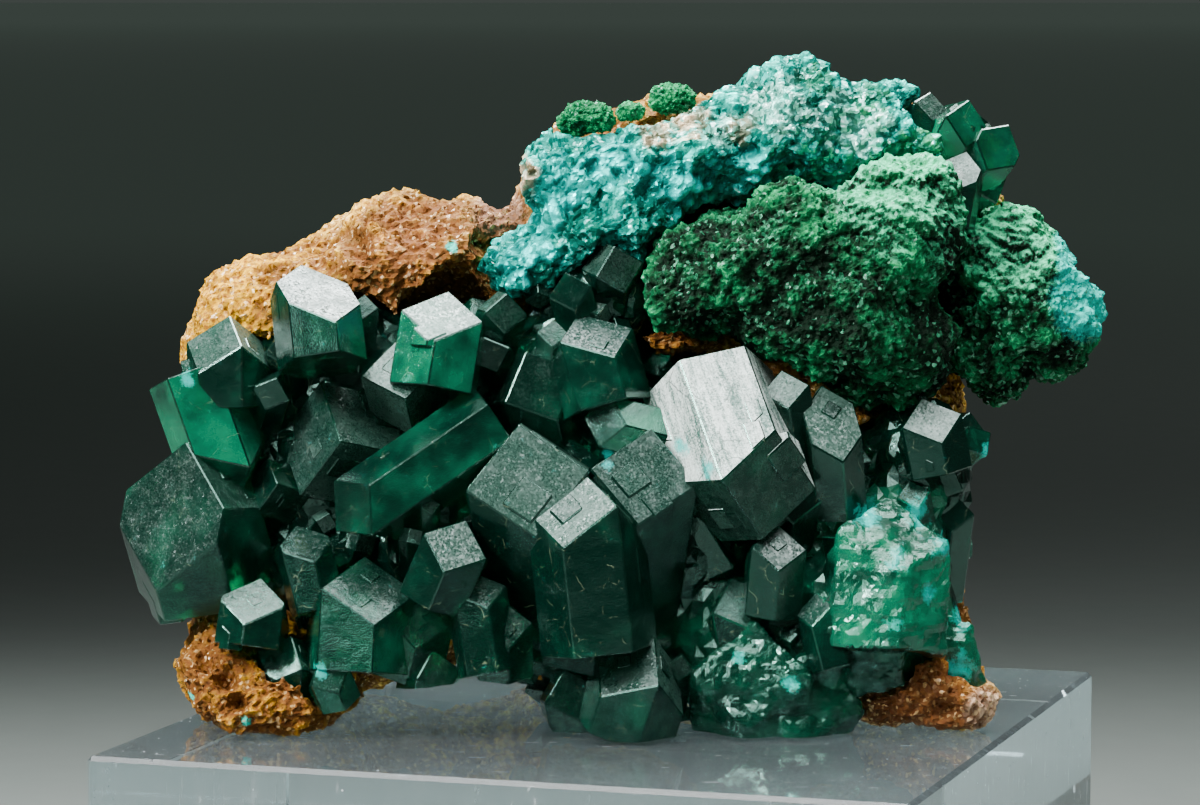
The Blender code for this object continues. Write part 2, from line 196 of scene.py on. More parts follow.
# %% A material under construction
class Finish:
    """A material whose nodes are added one by one."""

    def __init__(self, name):
        self.material = bpy.data.materials.new(name)
        self.material.use_nodes = True
        self.tree = self.material.node_tree
        self.tree.nodes.clear()
        self.place = self.node("ShaderNodeTexCoord", {}, out="Object")

    def node(self, kind, settings, *values, out=0, **named):
        """Adds a node. Plain values and wires fill its sockets in order or by name."""
        node = self.tree.nodes.new(kind)
        for key, value in settings.items():
            setattr(node, key, value)
        chosen = list(enumerate(values)) + [(key.replace("_", " "), value) for key, value in named.items()]
        for key, value in chosen:
            if isinstance(value, Wire):
                self.tree.links.new(value.socket, node.inputs[key])
            elif value is not None:
                node.inputs[key].default_value = value
        return Wire(self, node.outputs[out])

    def vectors(self, operation, *values, out=0, **named):
        """One step of vector maths."""
        return self.node("ShaderNodeVectorMath", {"operation": operation}, *values, out=out, **named)

    def noise(self, per_mm, detail=3.0, roughness=0.55, where=None):
        """A cloudy pattern with this many patches to a millimetre, from 0 to 1."""
        return self.node("ShaderNodeTexNoise", {}, Vector=where or self.place, Scale=per_mm / MM,
                         Detail=detail, Roughness=roughness)

    def cells(self, per_mm, feature="F1", where=None, out="Distance"):
        """A pattern of cells with this many to a millimetre."""
        return self.node("ShaderNodeTexVoronoi", {"feature": feature}, out=out,
                         Vector=where or self.place, Scale=per_mm / MM)

    def chance(self, per_mm, where=None):
        """A number from 0 to 1 that each cell of a pattern draws for itself."""
        return self.node("ShaderNodeSeparateColor", {}, self.cells(per_mm, where=where, out="Color"))

    def between(self, value, low, high, start=0.0, end=1.0):
        """Turns low..high smoothly into start..end, and holds the ends outside."""
        settings = {"interpolation_type": "SMOOTHSTEP"}
        return self.node("ShaderNodeMapRange", settings, value, low, high, start, end)

    def blend(self, factor, first, second):
        """Mixes two colours."""
        node = self.tree.nodes.new("ShaderNodeMix")
        node.data_type = "RGBA"
        for key, value in (("Factor_Float", factor), ("A_Color", first), ("B_Color", second)):
            socket = next(entry for entry in node.inputs if entry.identifier == key)
            if isinstance(value, Wire):
                self.tree.links.new(value.socket, socket)
            else:
                socket.default_value = value
        return Wire(self, next(entry for entry in node.outputs if entry.identifier == "Result_Color"))

    def shaken(self, amount_mm, per_mm):
        """The place, pushed about by noise, so that straight patterns turn ragged."""
        push = self.node("ShaderNodeTexNoise", {}, out="Color", Vector=self.place, Scale=per_mm / MM,
                         Detail=2.0)
        return self.vectors("MULTIPLY_ADD", push, (amount_mm * MM,) * 3, self.place)

    def spots(self, places):
        """1 at each spot of the front, given as x, z above the block and radius (mm), falling to 0."""
        flat = self.vectors("MULTIPLY", self.place, (1.0, 0.0, 1.0))
        total = 0.0
        for x, z, radius in places:
            middle = (x * MM, 0.0, z * MM + BLOCK_TOP)
            reach = self.vectors("DISTANCE", flat, middle, out="Value")
            total = self.between(reach, 0.0, radius * MM, 1.0, 0.0) + total
        return total

    def facets(self, per_mm, tilt, where=None, upward=0.0):
        """A normal that turns a little at every cell, like a skin of tiny crystals, which may lean up."""
        chance = self.cells(per_mm, where=where, out="Color")
        start = (-tilt / 2, -tilt / 2, upward - tilt / 2)
        lean = self.vectors("MULTIPLY_ADD", chance, (tilt,) * 3, start)
        straight = self.node("ShaderNodeNewGeometry", {}, out="Normal")
        return self.vectors("NORMALIZE", self.vectors("ADD", straight, lean))

    def bump(self, height, strength, depth_mm, normal=None):
        return self.node("ShaderNodeBump", {}, Strength=strength, Distance=depth_mm * MM, Height=height,
                         Normal=normal)

    def surface(self, **values):
        """A Principled shader with the given sockets set."""
        return self.node("ShaderNodeBsdfPrincipled", {}, **values)

    def mixed(self, share, first, second):
        """Two shaders side by side; share 0 shows the first and 1 the second."""
        return self.node("ShaderNodeMixShader", {}, share, first, second)

    def sparkling(self, base, share, tint, normal, ior=2.0):
        """The base shader with glassy flakes; share runs from 0 to 1 and says where they lie."""
        flake = self.surface(Base_Color=tint, Roughness=0.13, IOR=ior, Normal=normal)
        return self.mixed(share, base, flake)

    def marked(self, name):
        """The red, green and blue parts of a stored colour, as three wires."""
        colour = self.node("ShaderNodeAttribute", {"attribute_name": name}, out="Color")
        parts = self.tree.nodes.new("ShaderNodeSeparateColor")
        self.tree.links.new(colour.socket, parts.inputs[0])
        return [Wire(self, socket) for socket in parts.outputs]

    def done(self, surface, volume=None):
        """Joins the shaders to the output and returns the material."""
        end = self.tree.nodes.new("ShaderNodeOutputMaterial")
        self.tree.links.new(surface.socket, end.inputs["Surface"])
        if volume:
            self.tree.links.new(volume.socket, end.inputs["Volume"])
        print(self.material.name, "has", len(self.tree.nodes), "nodes")
        return self.material


def rgb(red, green, blue):
    return (red, green, blue, 1.0)


# %% [markdown]
# ## The finish of the crystals
#
# Light enters the smooth prism sides, loses its red on the way through and comes back emerald. The
# slanting end faces are etched, so they scatter the lamp and look pale grey. One glass shader can't be
# both, so the material mixes a clear, absorbing body with a frosted skin. The mask between them is
# stored on each facet when the crystals are made: red holds the frost, green the facet's own tone, blue
# its inner glow, a brighter green painted in as light shining through the crystal. Frost above 1.15
# turns into pale stripes of painted highlight, the lamp's reflection painted on the sides of the
# largest crystal.

# %% Values of the crystals
DIOPTASE_IOR = 1.66
GREEN_GLINT = rgb(0.55, 1.0, 0.85)
# the direction of the largest crystal's long axis, which its stripes of painted highlight follow
LONG_AXIS = (0.28, -0.574, -0.77)
# x, z above the block and radius (mm) of the places where copper-rich growth turned the crystals cyan
CYAN_SPOTS = ((4.6, 22.4, 1.5), (6.6, 21.2, 1.4), (-0.9, 21.2, 0.9), (-33.3, 27.2, 1.3), (28.6, 49.6, 1.5),
              (19.0, 17.0, 2.0), (22.8, 17.0, 2.3), (24.6, 14.6, 1.7), (21.0, 14.2, 1.5), (23.6, 11.4, 1.3),
              (20.8, 9.2, 1.5), (26.0, 5.0, 2.8), (26.4, 8.6, 1.7), (9.0, 6.4, 1.2), (13.2, 4.4, 1.5),
              (28.6, 21.0, 2.0), (-22.8, 5.5, 1.2), (-6.8, 36.0, 1.5))
print(len(CYAN_SPOTS), "cyan spots")


# %% Clouds, cracks and dust
def crystal_patterns(f):
    """The noises and masks that the clear body and the frosted skin share."""
    p = SimpleNamespace()
    p.frost, p.tone, p.glow = f.marked("facet")
    p.grain = f.noise(7.0, detail=2.0, roughness=0.7)
    p.streaks = f.noise(0.9, detail=4.0, roughness=0.65)
    p.swell = f.noise(0.3, detail=1.0)
    clouds = f.noise(0.24, detail=4.0)
    ragged = f.shaken(0.9, 0.8)

    def cracks(per_mm, width):
        return f.between(f.cells(per_mm, "DISTANCE_TO_EDGE", ragged), 0.0, width, 1.0, 0.0)

    p.hair = cracks(0.26, 0.02) * f.between(clouds, 0.47, 0.6)
    dust = cracks(0.45, 0.018) * f.between(p.streaks, 0.5, 0.62)
    flecks = f.between(f.cells(1.1, where=ragged), 0.05, 0.16, 1.0, 0.0) * f.between(clouds, 0.5, 0.62)
    dull = f.between(p.glow, 0.1, 0.45, 1.0, 0.3) * f.between(p.tone, 0.0, 0.05)
    p.dusty = (dust + flecks * 0.7).clamped() * dull
    copper = f.spots(CYAN_SPOTS) * 0.9 + (p.streaks - 0.5) * 2.2 + (p.grain - 0.5) * 0.9
    p.cyan = f.between(copper, 0.35, 1.1)
    # bright is partly painted light: the glow of light shining through the crystal, with cyan growth and
    # clouds
    p.bright = f.between(p.glow * 0.7 + p.cyan * 0.8 + (clouds - 0.5) * 1.5, 0.1, 1.0)
    return p


# %% The clear body
def clear_body(f, p):
    """Glass, milky where a glow of light is painted in, with cyan growth and dust just under its faces."""
    normal = f.bump(p.grain * 0.25 + p.streaks * 0.6 + p.swell * 1.8, 0.6, 0.1)
    sheen = f.between(p.streaks, 0.35, 0.8, 0.05, 0.22) + f.between(p.tone, 0.0, 0.05, 0.05, 0.0)
    deep = f.blend(p.bright, rgb(0.010, 0.24, 0.15), rgb(0.05, 0.96, 0.60))
    glass = f.surface(Base_Color=deep, Roughness=sheen, IOR=DIOPTASE_IOR, Transmission_Weight=0.96,
                      Specular_Tint=GREEN_GLINT, Normal=normal)
    milk = f.blend(p.bright, rgb(0.0003, 0.010, 0.006), rgb(0.0008, 0.16, 0.075))
    milk = f.blend(p.cyan, milk, rgb(0.0, 0.46, 0.40))
    milk = f.blend(p.dusty * 0.6, milk, rgb(0.20, 0.25, 0.15))
    inner = f.surface(Base_Color=milk, Roughness=sheen, IOR=DIOPTASE_IOR, Specular_Tint=GREEN_GLINT,
                      Normal=normal)
    milky = f.between(p.bright + p.cyan + p.dusty + (p.streaks - 0.5), 0.0, 1.2, 0.4, 0.9)
    return f.mixed(milky, glass, inner)


# %% The frosted skin
def stripes(f, axis):
    """Noise drawn out along an axis, because most of the way along it is taken out of the place."""
    run = f.vectors("DOT_PRODUCT", f.place, axis, out="Value")
    along = f.vectors("SCALE", axis, Scale=run * 0.86)
    combed = f.vectors("SUBTRACT", f.place, along)
    return f.noise(1.1, detail=5.0, roughness=0.75, where=combed)


def frosted_skin(f, p):
    """Etched faces: grey grains, stripes of painted highlight on the largest crystal, dark hair cracks,
    cyan growth.
    """
    worn = f.noise(0.55, detail=3.0, roughness=0.6)
    striped = stripes(f, LONG_AXIS)
    light = f.between(p.grain + (p.tone - 0.5) * 0.4, 0.3, 0.75)
    pale = f.blend(light, rgb(0.006, 0.028, 0.020), rgb(0.035, 0.084, 0.063))
    # painted highlight: where frost is above 1.15, the lamp's reflection is painted in as pale streaked
    # colour
    highlight_streaks = f.between(striped + (p.grain - 0.5) * 0.5, 0.36, 0.62)
    painted_highlight = f.blend(highlight_streaks, rgb(0.03, 0.10, 0.075), rgb(0.62, 0.70, 0.66))
    pale = f.blend(f.between(p.frost, 1.15, 1.4), pale, painted_highlight)
    pale = f.blend(p.hair * 0.8, pale, rgb(0.008, 0.03, 0.02))
    pale = f.blend(p.cyan * 0.85, pale, rgb(0.0, 0.50, 0.45))
    roughness = f.between(p.grain + (worn - 0.5) * 1.6, 0.2, 0.9, 0.20, 0.5)
    height = p.streaks * 0.8 + p.swell + worn * 0.9 + striped * 0.5
    return f.surface(Base_Color=pale, Roughness=roughness, IOR=1.7, Specular_Tint=rgb(0.85, 1.0, 0.96),
                     Normal=f.bump(height, 0.7, 0.09, f.facets(6.5, 0.3)))


# %% The whole crystal finish
def dioptase_finish():
    f = Finish("dioptase_crystal")
    p = crystal_patterns(f)
    skin = f.between(p.frost + (p.grain - 0.5) * 0.3 + (p.streaks - 0.5) * 0.5, 0.3, 0.95)
    inside = f.node("ShaderNodeVolumeAbsorption", {}, Color=rgb(0.03, 0.66, 0.42), Density=260.0)
    return f.done(f.mixed(skin, clear_body(f, p), frosted_skin(f, p)), inside)


# %% [markdown]
# ## Where each crystal grows
#
# The large crystals of a real specimen are each one's own size and pose, so they can't come from a
# formula or an array. Each has a row here, given as seen from the front, with its tip first, because the
# tip is what can be seen best. A body of rounded masses behind them is what they root in.

# %% One row for each crystal
# Tip x, y, z, half width and length (mm), lean to the right, nod to the front, turn about its own axis
# (degrees), growth of the main face, frost of the end faces, inner glow (painted light through the
# crystal), and frost of the sides where they are frosted too, which above 1.15 paints in a highlight.
FIELDS = "x y z half_width length lean nod turn growth frost glow side_frost"
Crystal = namedtuple("Crystal", FIELDS, defaults=(None,))

FRONT_CRYSTALS = (
    # left flank
    (-33.5, -8, 22.4, 5.7, 12, -12, 24, -38, 0.3, 0.5, 0.4),
    (-29.4, -5.8, 17.2, 3.8, 11, 160, 8, 28, 0, 0.42, 1.0),
    (-30.3, -5, 32, 3.5, 7, 0, 0, -40, 0, 0.8, 0.4),
    (-34.2, -5, 28.4, 1.6, 5, -60, 20, 0, 0, 0.7, 0.8),
    (-33.4, -5.5, 26.6, 1.5, 5, -30, 30, 10, 0, 0.4, 0.9),
    # upper left
    (-24.8, -4, 35.9, 3.5, 9, -8, -22, 28, 0.55, 1, 0.3),
    (-19.8, -4.5, 33.6, 1.4, 6, 5, 10, 0, 0, 0.6, 0.4),
    (-21.4, -10.5, 22.7, 5.2, 10, 0, 80, 20, 0, 0.7, 0.2),
    (-16.4, -10.5, 25.9, 3.7, 9, -10, 100, 60, 0, 0.7, 0.3),
    (-13.2, -6.6, 34.0, 3.7, 8, 9, -13, -5, 0, 0.9, 1.0),
    (-8.7, -6, 33.8, 2.0, 7, 15, 30, 20, 0, 0.6, 0.4),
    (-10.5, -6.5, 30.4, 1.9, 6, -20, 40, 0, 0, 0.5, 0.4),
    (-26.3, -6, 30.6, 1.6, 6, -5, 30, 10, 0, 0.5, 0.3),
    (-26.4, -8, 27.4, 1.7, 6, 20, 45, 0, 0, 0.4, 0.3),
    # middle left
    (-21.8, -11, 15.8, 3.3, 15, -124, 8, 30, 0, 0.2, 0.5),
    (-14.6, -12, 18.6, 0.9, 5, 0, 30, 20, 0, 0.8, 0.3),
    (-16.0, -12, 16.2, 1.0, 5, 0, 40, 45, 0, 0.8, 0.3),
    (-26.4, -8.5, 19.2, 2.6, 7, 10, 70, 30, 0, 0.4, 0.4),
    (-25, -8.5, 16.0, 2.3, 7, -15, -12, 20, 0.2, 0.5, 0.2),
    (-27.6, -10, 12.1, 2.9, 5.5, 8, -12, -10, 0.1, 0.8, 0.3),
    # the big pale face low on the left
    (-19.6, -9.5, 13.7, 4.4, 9, 3, -10, 16, 0, 0.6, 0.5),
    (-15.2, -10.5, 11.4, 3.2, 7, 12, 10, 10, 0, 0.5, 0.4),
    (-25.2, -11.5, 7.8, 2.6, 4.5, 5, 20, -35, 0, 0.4, 0.6),
    (-22.8, -13.8, 6.3, 1.9, 4, -20, 25, 15, 0, 0.5, 0.9),
    (-11.7, -12.5, 16.9, 3.0, 7, 23, 8, 0, 0, 1, 0.2),
    (-11.3, -11, 12.7, 2.5, 8, -10, -10, 20, 0, 0.7, 0.2),
    (-14.3, -12, 6.8, 2.4, 4, 10, 20, 40, 0, 0.5, 0.4),
    # under the crust
    (-0.4, -5.4, 37.4, 2.4, 6, 5, 42, 30, 0, 0.6, 0.2),
    (-4.2, -5.8, 35.4, 2.0, 5, -15, 25, 0, 0, 0.4, 0.7),
    # centre
    (-7.2, -8, 29.4, 3.7, 9, -12, 30, 20, 0, 0.5, 0.3),
    (-5, -6.5, 31.8, 1.5, 6, 5, 10, 0, 0, 0.6, 0.4),
    (-3.2, -5.5, 32.2, 3.8, 8, -16, -14, 30, 0, 0.9, 0.3),
    (-7.7, -12.5, 24.2, 5.5, 18, -9, 28, 0, 0, 0.9, 0.1),
    (-3.0, -12.5, 20.8, 4.5, 14, -6, -2, -25, 0, 0.75, 0.1),
    (-1.5, -10.5, 15.5, 4.6, 10, 3, 10, 0, 0, 0.5, 0.1),
    (-9, -12, 10.6, 2.5, 6, 0, 14, 12, 0, 0.5, 0.1),
    (-2.8, -9, 24.4, 2.4, 9, -75, 10, 10, 0, 0.3, 0.8),
    (2.4, -11.5, 23.8, 4.8, 16, 8, 20, 0, 0, 1, 0.3),
    (6.2, -10.3, 17, 4.2, 12, 5, 50, -15, 0, 0.1, 0.0),
    # low in the middle
    (-4.2, -12, 5.3, 2.6, 5, -10, 30, 10, 0, 0.4, 0.3),
    (2.7, -13.2, 7.9, 4.0, 8, 18, 6, -42, 0, 0.8, 0.3),
    (4.8, -12, 6.4, 1.3, 6, 10, 30, 0, 0, 0.5, 0.3),
    (8.6, -10.5, 12.2, 3.0, 9, -10, 10, 20, 0, 0.5, 0.1),
    # the largest crystal, its tip low and to the right
    (10.9, -14, 15.5, 5.3, 14.5, -20, 145, 15, 0, 0.7, 0.4, 1.5),
    (12.5, -8, 28, 2.2, 10, -10, 5, 0, 0, 0.8, 0.1),
    (15.6, -8, 26.8, 2.4, 10, -5, 14, 15, 0.7, 0.9, 0.0),
    (13.6, -9, 20.2, 2.6, 8, 10, 20, 10, 0, 0.4, 0.3),
    (12.2, -11.8, 16.4, 2.5, 7, 5, 5, 5, 0, 1, 0.1),
    # lower right
    (15, -12, 11.2, 2.0, 6, -15, -10, -30, 0, 0.8, 0.4),
    (17.4, -13.4, 10, 1.9, 6, 15, 20, 20, 0, 0.6, 0.6),
    # right edge
    (23.5, -5.5, 25.6, 2.9, 6, -12, 0, 14, 0, 0.9, 0.0),
    (27.4, -4.5, 24.4, 1.9, 6, 20, 20, 20, 0, 0.5, 0.4),
    (29, -5, 22.8, 1.6, 6, 60, 20, 0, 0, 0.3, 0.8),
    (26, -6, 20.2, 1.7, 6, 30, 40, 10, 0, 0.4, 0.5),
    (22.5, -6.5, 19.3, 1.6, 6, -10, 10, 10, 0, 0.6, 0.5),
    (26.2, -5, 18.0, 1.9, 9, 5, 20, 0, 0, 0.3, 0.4),
)

# These were half dissolved again and grew a rough skin
ETCHED_CRYSTALS = (
    (20.6, -9, 18.3, 5.2, 12, 3, -12, 12, 0, 0.7, 0.95),
    (18.2, -11.5, 13, 4.0, 9, -8, 15, -20, 0, 0.25, 0.7),
    (23, -9.5, 11.5, 2.8, 8, 12, 15, 10, 0, 0.3, 0.9),
    (10.3, -12.5, 9.2, 5.4, 9, -2, 25, -10, 0, 0.1, 0.5),
    (15.6, -12.5, 7.2, 5.0, 8, 22, 28, 10, 0, 0.1, 0.5),
    (25.2, -9.5, 9.2, 1.8, 7, -14, 10, 20, 0, 0.2, 0.9),
)

TOP_RIGHT_CRYSTALS = (
    (24.6, 1.5, 49.2, 1.8, 6, 15, 0, 20, 0, 0.6, 0.3),
    (27.6, 1, 48.6, 2.6, 7, 25, 10, 30, 0, 0.3, 1),
    (30.8, 1.5, 46.6, 2.2, 8, 35, 10, 10, 0.3, 0.3, 0.8),
    (27.3, -0.5, 44.6, 2.0, 6, 10, 0, -20, 0.4, 1, 0.2),
    (30.6, 1, 42.4, 1.9, 6, 70, 20, 0, 0, 0.3, 0.7),
)

# Rounded masses that the crystals root in: centre x, y, z above the block and half sizes (mm)
FRONT_MASS = (
    (-31, -0.5, 16.5, 4.2, 5.5, 7),
    (-28, -0.5, 26, 4.5, 5, 5),
    (-22, -0.5, 19, 9, 6.5, 9),
    (-21, 0, 29, 6.5, 5, 4.5),
    (-23.5, -2.5, 12, 5.5, 6, 5.5),
    (-1.5, 0.5, 33, 5.5, 5.5, 4),
    (-14, 0.5, 26, 8, 7, 6.5),
    (-13, 0, 14, 8.5, 9.5, 8.5),
    (-4, 0, 15, 9, 10, 11),
    (-4, 1, 27, 8, 6.5, 5),
    (5, 0, 14.5, 9, 10.5, 10),
    (7, 0, 24, 7, 6, 4.5),
    (0, -3.5, 5.5, 7, 7.5, 5),
    (10, -4, 6.5, 8.5, 8.5, 6.5),
    (14, -1, 18, 6, 7, 8),
    (17, -4, 8.5, 7.5, 9, 7),
    (21.5, -2, 13, 5.4, 7, 8),
    (23.4, -1.8, 19, 4.8, 5, 7),
    (24.4, -6.2, 6.4, 2.8, 4.8, 6),
)
TOP_RIGHT_MASS = (
    (26.5, 2.5, 45, 3.5, 3, 3.5),
    (29, 3, 43.6, 2.4, 2.6, 3),
)
UNDERSIDE_HOLLOW = (-13.6, -10, -1.4, 9, 20, 5.6)
print(len(FRONT_CRYSTALS) + len(TOP_RIGHT_CRYSTALS), "crystals")

# %% [markdown]
# ## Making one crystal
#
# A crystal is a cone with equal radii and six segments, cut by three planes that meet in its tip. Its
# corners could be typed in as well, but with planes the slant of the ends is one named value: the end
# faces of dioptase stand 51 degrees off the long axis. Every edge gets a fine bevel, because real edges
# are worn and catch the light. The half-dissolved crystals are remeshed instead and get a rough skin.

# %% Where a crystal stands and how it ends
PRISM_SIDES = 6
CAP_FACES = 3
CAP_ANGLE = math.radians(51.0)
# how far a prism's side lies from its axis, as a share of the half width
FLAT_SHARE = math.cos(math.radians(30.0))


def pose_of(row):
    """Where a crystal's tip is and how it stands."""
    place = Matrix.Translation((row.x * MM, row.y * MM, row.z * MM + BLOCK_TOP))
    tilt = Matrix.Rotation(math.radians(row.lean), 4, "Y") @ Matrix.Rotation(math.radians(row.nod), 4, "X")
    return place @ tilt @ Matrix.Rotation(math.radians(row.turn), 4, "Z")


def cap_normals():
    """The directions that the end faces look in, on an upright crystal."""
    flat = math.sin(CAP_ANGLE)
    sides = [math.radians(-90.0 + 360.0 / CAP_FACES * step) for step in range(CAP_FACES)]
    return [Vector((math.cos(side) * flat, math.sin(side) * flat, math.cos(CAP_ANGLE))) for side in sides]


def side_normal(side):
    """The direction that one of the prism's sides looks in, on an upright crystal."""
    angle = math.radians(360.0 / PRISM_SIDES * side)
    return Vector((math.cos(angle), math.sin(angle), 0.0))


# %% A crystal with worn edges
EDGE_WEAR = 0.09
WEAR_SHARE = 0.05


def prism(row):
    """An upright prism with its end faces, whose tip is at the origin."""
    radius = row.half_width * MM
    bm = bmesh.new()
    bmesh.ops.create_cone(bm, segments=PRISM_SIDES, radius1=radius, radius2=radius,
                          depth=(row.length + row.half_width) * MM, cap_ends=True)
    shift = (0.0, -row.growth * row.half_width * MM, (row.half_width - row.length) / 2.0 * MM)
    bmesh.ops.translate(bm, verts=bm.verts, vec=shift)
    for normal in cap_normals():
        geom = bm.verts[:] + bm.edges[:] + bm.faces[:]
        bmesh.ops.bisect_plane(bm, geom=geom, plane_co=(0.0, 0.0, 0.0), plane_no=normal, clear_outer=True)
        bmesh.ops.holes_fill(bm, edges=[edge for edge in bm.edges if edge.is_boundary], sides=0)
    bmesh.ops.remove_doubles(bm, verts=bm.verts, dist=0.001 * MM)
    return bm


def crystal(row):
    """One crystal in its place, with worn edges."""
    bm = prism(row)
    wear = min(EDGE_WEAR, WEAR_SHARE * row.half_width) * MM
    bmesh.ops.bevel(bm, geom=bm.edges[:], offset=wear, segments=1, affect="EDGES", profile=0.5, material=-1)
    bmesh.ops.triangulate(bm, faces=bm.faces)
    bmesh.ops.recalc_face_normals(bm, faces=bm.faces)
    bmesh.ops.transform(bm, verts=bm.verts, matrix=pose_of(row))
    return bm


# %% A crystal with a rough skin
ETCHED_VOXEL = 0.32


def etched_height(co):
    return 0.6 * grains(co, 2.6, 4.0) + 0.3 * grains(co, 1.3, 8.0) + 0.3 * cloud(co, 3.0)


def etched_crystal(row):
    """One crystal in its place that was half dissolved and grew a rough skin."""
    bm = prism(row)
    bmesh.ops.transform(bm, verts=bm.verts, matrix=pose_of(row))
    bm = applied(bm, ("REMESH", {"mode": "VOXEL", "voxel_size": ETCHED_VOXEL * MM}))
    relief(bm, etched_height)
    bmesh.ops.triangulate(bm, faces=bm.faces)
    return bm


# %% [markdown]
# ## Growth steps
#
# A crystal grows in layers, and where a layer stopped it leaves a flat step. Cutting them into the faces
# one by one would be slow work. Instead each step is a smaller crystal in the same pose, a few
# hundredths of a millimetre proud of its parent, and the union that joins all crystals turns it into a
# step. A seeded draw sets them on the end faces and on the sides, more of them on the striped crystal.

# %% Steps on the end faces and the sides
END_STEPS = 0.8
SIDE_STEPS = 0.4
STRIPED_SIDE_STEPS = 1.0


def smaller(row, tip, size, length):
    """A smaller crystal in the same pose, with its tip at the given place."""
    return row._replace(x=tip.x / MM, y=tip.y / MM, z=(tip.z - BLOCK_TOP) / MM, half_width=size,
                        length=length, growth=0.0)


def end_step(row, pose, draw):
    """A step on one of the end faces."""
    normal = draw.choice(cap_normals())
    along = normal.cross(Vector((0, 0, 1))).normalized()
    down = normal.cross(along)
    slide = draw.uniform(0.25, 1.0) * row.half_width
    sideways = along * draw.uniform(-0.45, 0.45) * slide
    offset = normal * draw.uniform(0.03, 0.11) + down * slide + sideways
    size = row.half_width * draw.uniform(0.2, 0.42)
    return smaller(row, pose @ (offset * MM), size, size * 1.5)


def side_step(row, pose, draw):
    """A step on one of the sides."""
    out = side_normal(draw.randrange(PRISM_SIDES))
    size = row.half_width * draw.uniform(0.12, 0.34)
    proud = (row.half_width - size) * FLAT_SHARE + draw.uniform(0.03, 0.08)
    slide = Vector((-out.y, out.x, 0.0)) * draw.uniform(-0.4, 0.4) * (row.half_width - size)
    depth = Vector((0.0, 0.0, -row.half_width * draw.uniform(0.7, 2.2)))
    middle = Vector((0.0, -row.growth * row.half_width, 0.0))
    return smaller(row, pose @ ((middle + out * proud + slide + depth) * MM), size, size * 2.5)


def growth_steps(row, draw):
    """Rows for all the steps of one crystal; a wider crystal has more."""
    pose = pose_of(row)
    side_steps = SIDE_STEPS if row.side_frost is None else STRIPED_SIDE_STEPS
    steps = [end_step(row, pose, draw) for _ in range(int(row.half_width * END_STEPS))]
    steps += [side_step(row, pose, draw) for _ in range(int(row.half_width * side_steps))]
    return steps


# %% [markdown]
# ## Small crystals in the gaps
#
# Between the large crystals of a druse many small ones grow outwards from the same rock. They are too
# many to set by hand and their exact places don't matter, so a seeded draw picks a rounded mass, a
# direction to the front, and a size for each. The seed makes every run the same.

# %% Seedlings
SEEDLING_LENGTH = 3.0
LOWEST_TIP = 1.0


def seedlings(masses, count, draw):
    """Rows for small crystals that grow outwards from the rounded masses."""
    rows = []
    while len(rows) < count:
        x, y, z, rx, ry, rz = draw.choice(masses)
        out = Vector((draw.gauss(0, 1), -abs(draw.gauss(0, 1)), draw.gauss(0, 1))).normalized()
        lean = math.degrees(math.asin(out.x)) + draw.uniform(-25, 25)
        nod = math.degrees(math.atan2(-out.y, max(out.z, 0.1))) + draw.uniform(-25, 25)
        size = draw.uniform(0.6, 1.5)
        tip = Vector((x + out.x * (rx + size), y + out.y * (ry + size), z + out.z * (rz + size)))
        if tip.z > LOWEST_TIP:
            turn = draw.uniform(-60, 60)
            frost = draw.uniform(0.1, 0.9)
            rows.append(Crystal(*tip, size, SEEDLING_LENGTH, lean, nod, turn, 0, frost, draw.random()))
    return rows


# %% [markdown]
# ## Joining the crystals
#
# Crystals that only overlap would show each other's hidden faces through the glass, and absorption
# would count them twice. A union with the root body makes one closed surface of them. The rooted part
# gets a low relief of grains, because between the crystals only a crust of tiny ones shows. A cube and
# an ellipsoid then cut away what would touch the block or hang into the arch underneath.

# %% Union and difference
def joined(bm, cutters, operation):
    """Adds or takes away each cutter in turn."""
    for cutter in cutters:
        mesh = bpy.data.meshes.new("cutter")
        cutter.to_mesh(mesh)
        cutter.free()
        tool = bpy.data.objects.new("cutter", mesh)
        bpy.context.scene.collection.objects.link(tool)
        bm = applied(bm, ("BOOLEAN", {"operation": operation, "solver": "MANIFOLD", "object": tool}))
        bpy.data.objects.remove(tool, do_unlink=True)
        bpy.data.meshes.remove(mesh)
    return bm


# %% Rounded masses and cutters
ROOT_VOXEL = 0.85
CUTTER_SIDE = 0.2
CLEARANCE = 0.3


def ellipsoid(spec):
    """A rounded mass from its centre and half sizes."""
    x, y, z, rx, ry, rz = spec
    bm = bmesh.new()
    bmesh.ops.create_icosphere(bm, subdivisions=3, radius=1.0)
    bmesh.ops.scale(bm, verts=bm.verts, vec=(rx * MM, ry * MM, rz * MM))
    bmesh.ops.translate(bm, verts=bm.verts, vec=(x * MM, y * MM, z * MM + BLOCK_TOP))
    return bm


def floor_cutter():
    """A cube whose top lies a little above the block."""
    bm = bmesh.new()
    bmesh.ops.create_cube(bm, size=CUTTER_SIDE)
    bmesh.ops.translate(bm, verts=bm.verts, vec=(0, 0, BLOCK_TOP + CLEARANCE * MM - CUTTER_SIDE / 2))
    return bm


def root_height(co):
    return 0.9 * grains(co, 2.2, 5.0) + 0.5 * grains(co, 1.1, 2.0) - 0.4


def root_body(masses):
    """The masses melted into one body with a crust of grains."""
    whole = bmesh.new()
    for spec in masses:
        part = ellipsoid(spec)
        carrier = bpy.data.meshes.new("carrier")
        part.to_mesh(carrier)
        part.free()
        whole.from_mesh(carrier)
        bpy.data.meshes.remove(carrier)
    whole = applied(whole, ("REMESH", {"mode": "VOXEL", "voxel_size": ROOT_VOXEL * MM}))
    relief(whole, root_height)
    return whole


# %% [markdown]
# ## Telling the facets apart
#
# After the union nobody knows which triangle belongs to which crystal, but every facet lies in a plane
# that is known from its row. A triangle that lies in one of these planes gets the frost, tone and glow of
# that facet. What lies in none of them is rooted crust, or the rough skin of an etched crystal if it is
# near enough to one's axis. The value is stored on the face's corners, so that it stops at the edge.

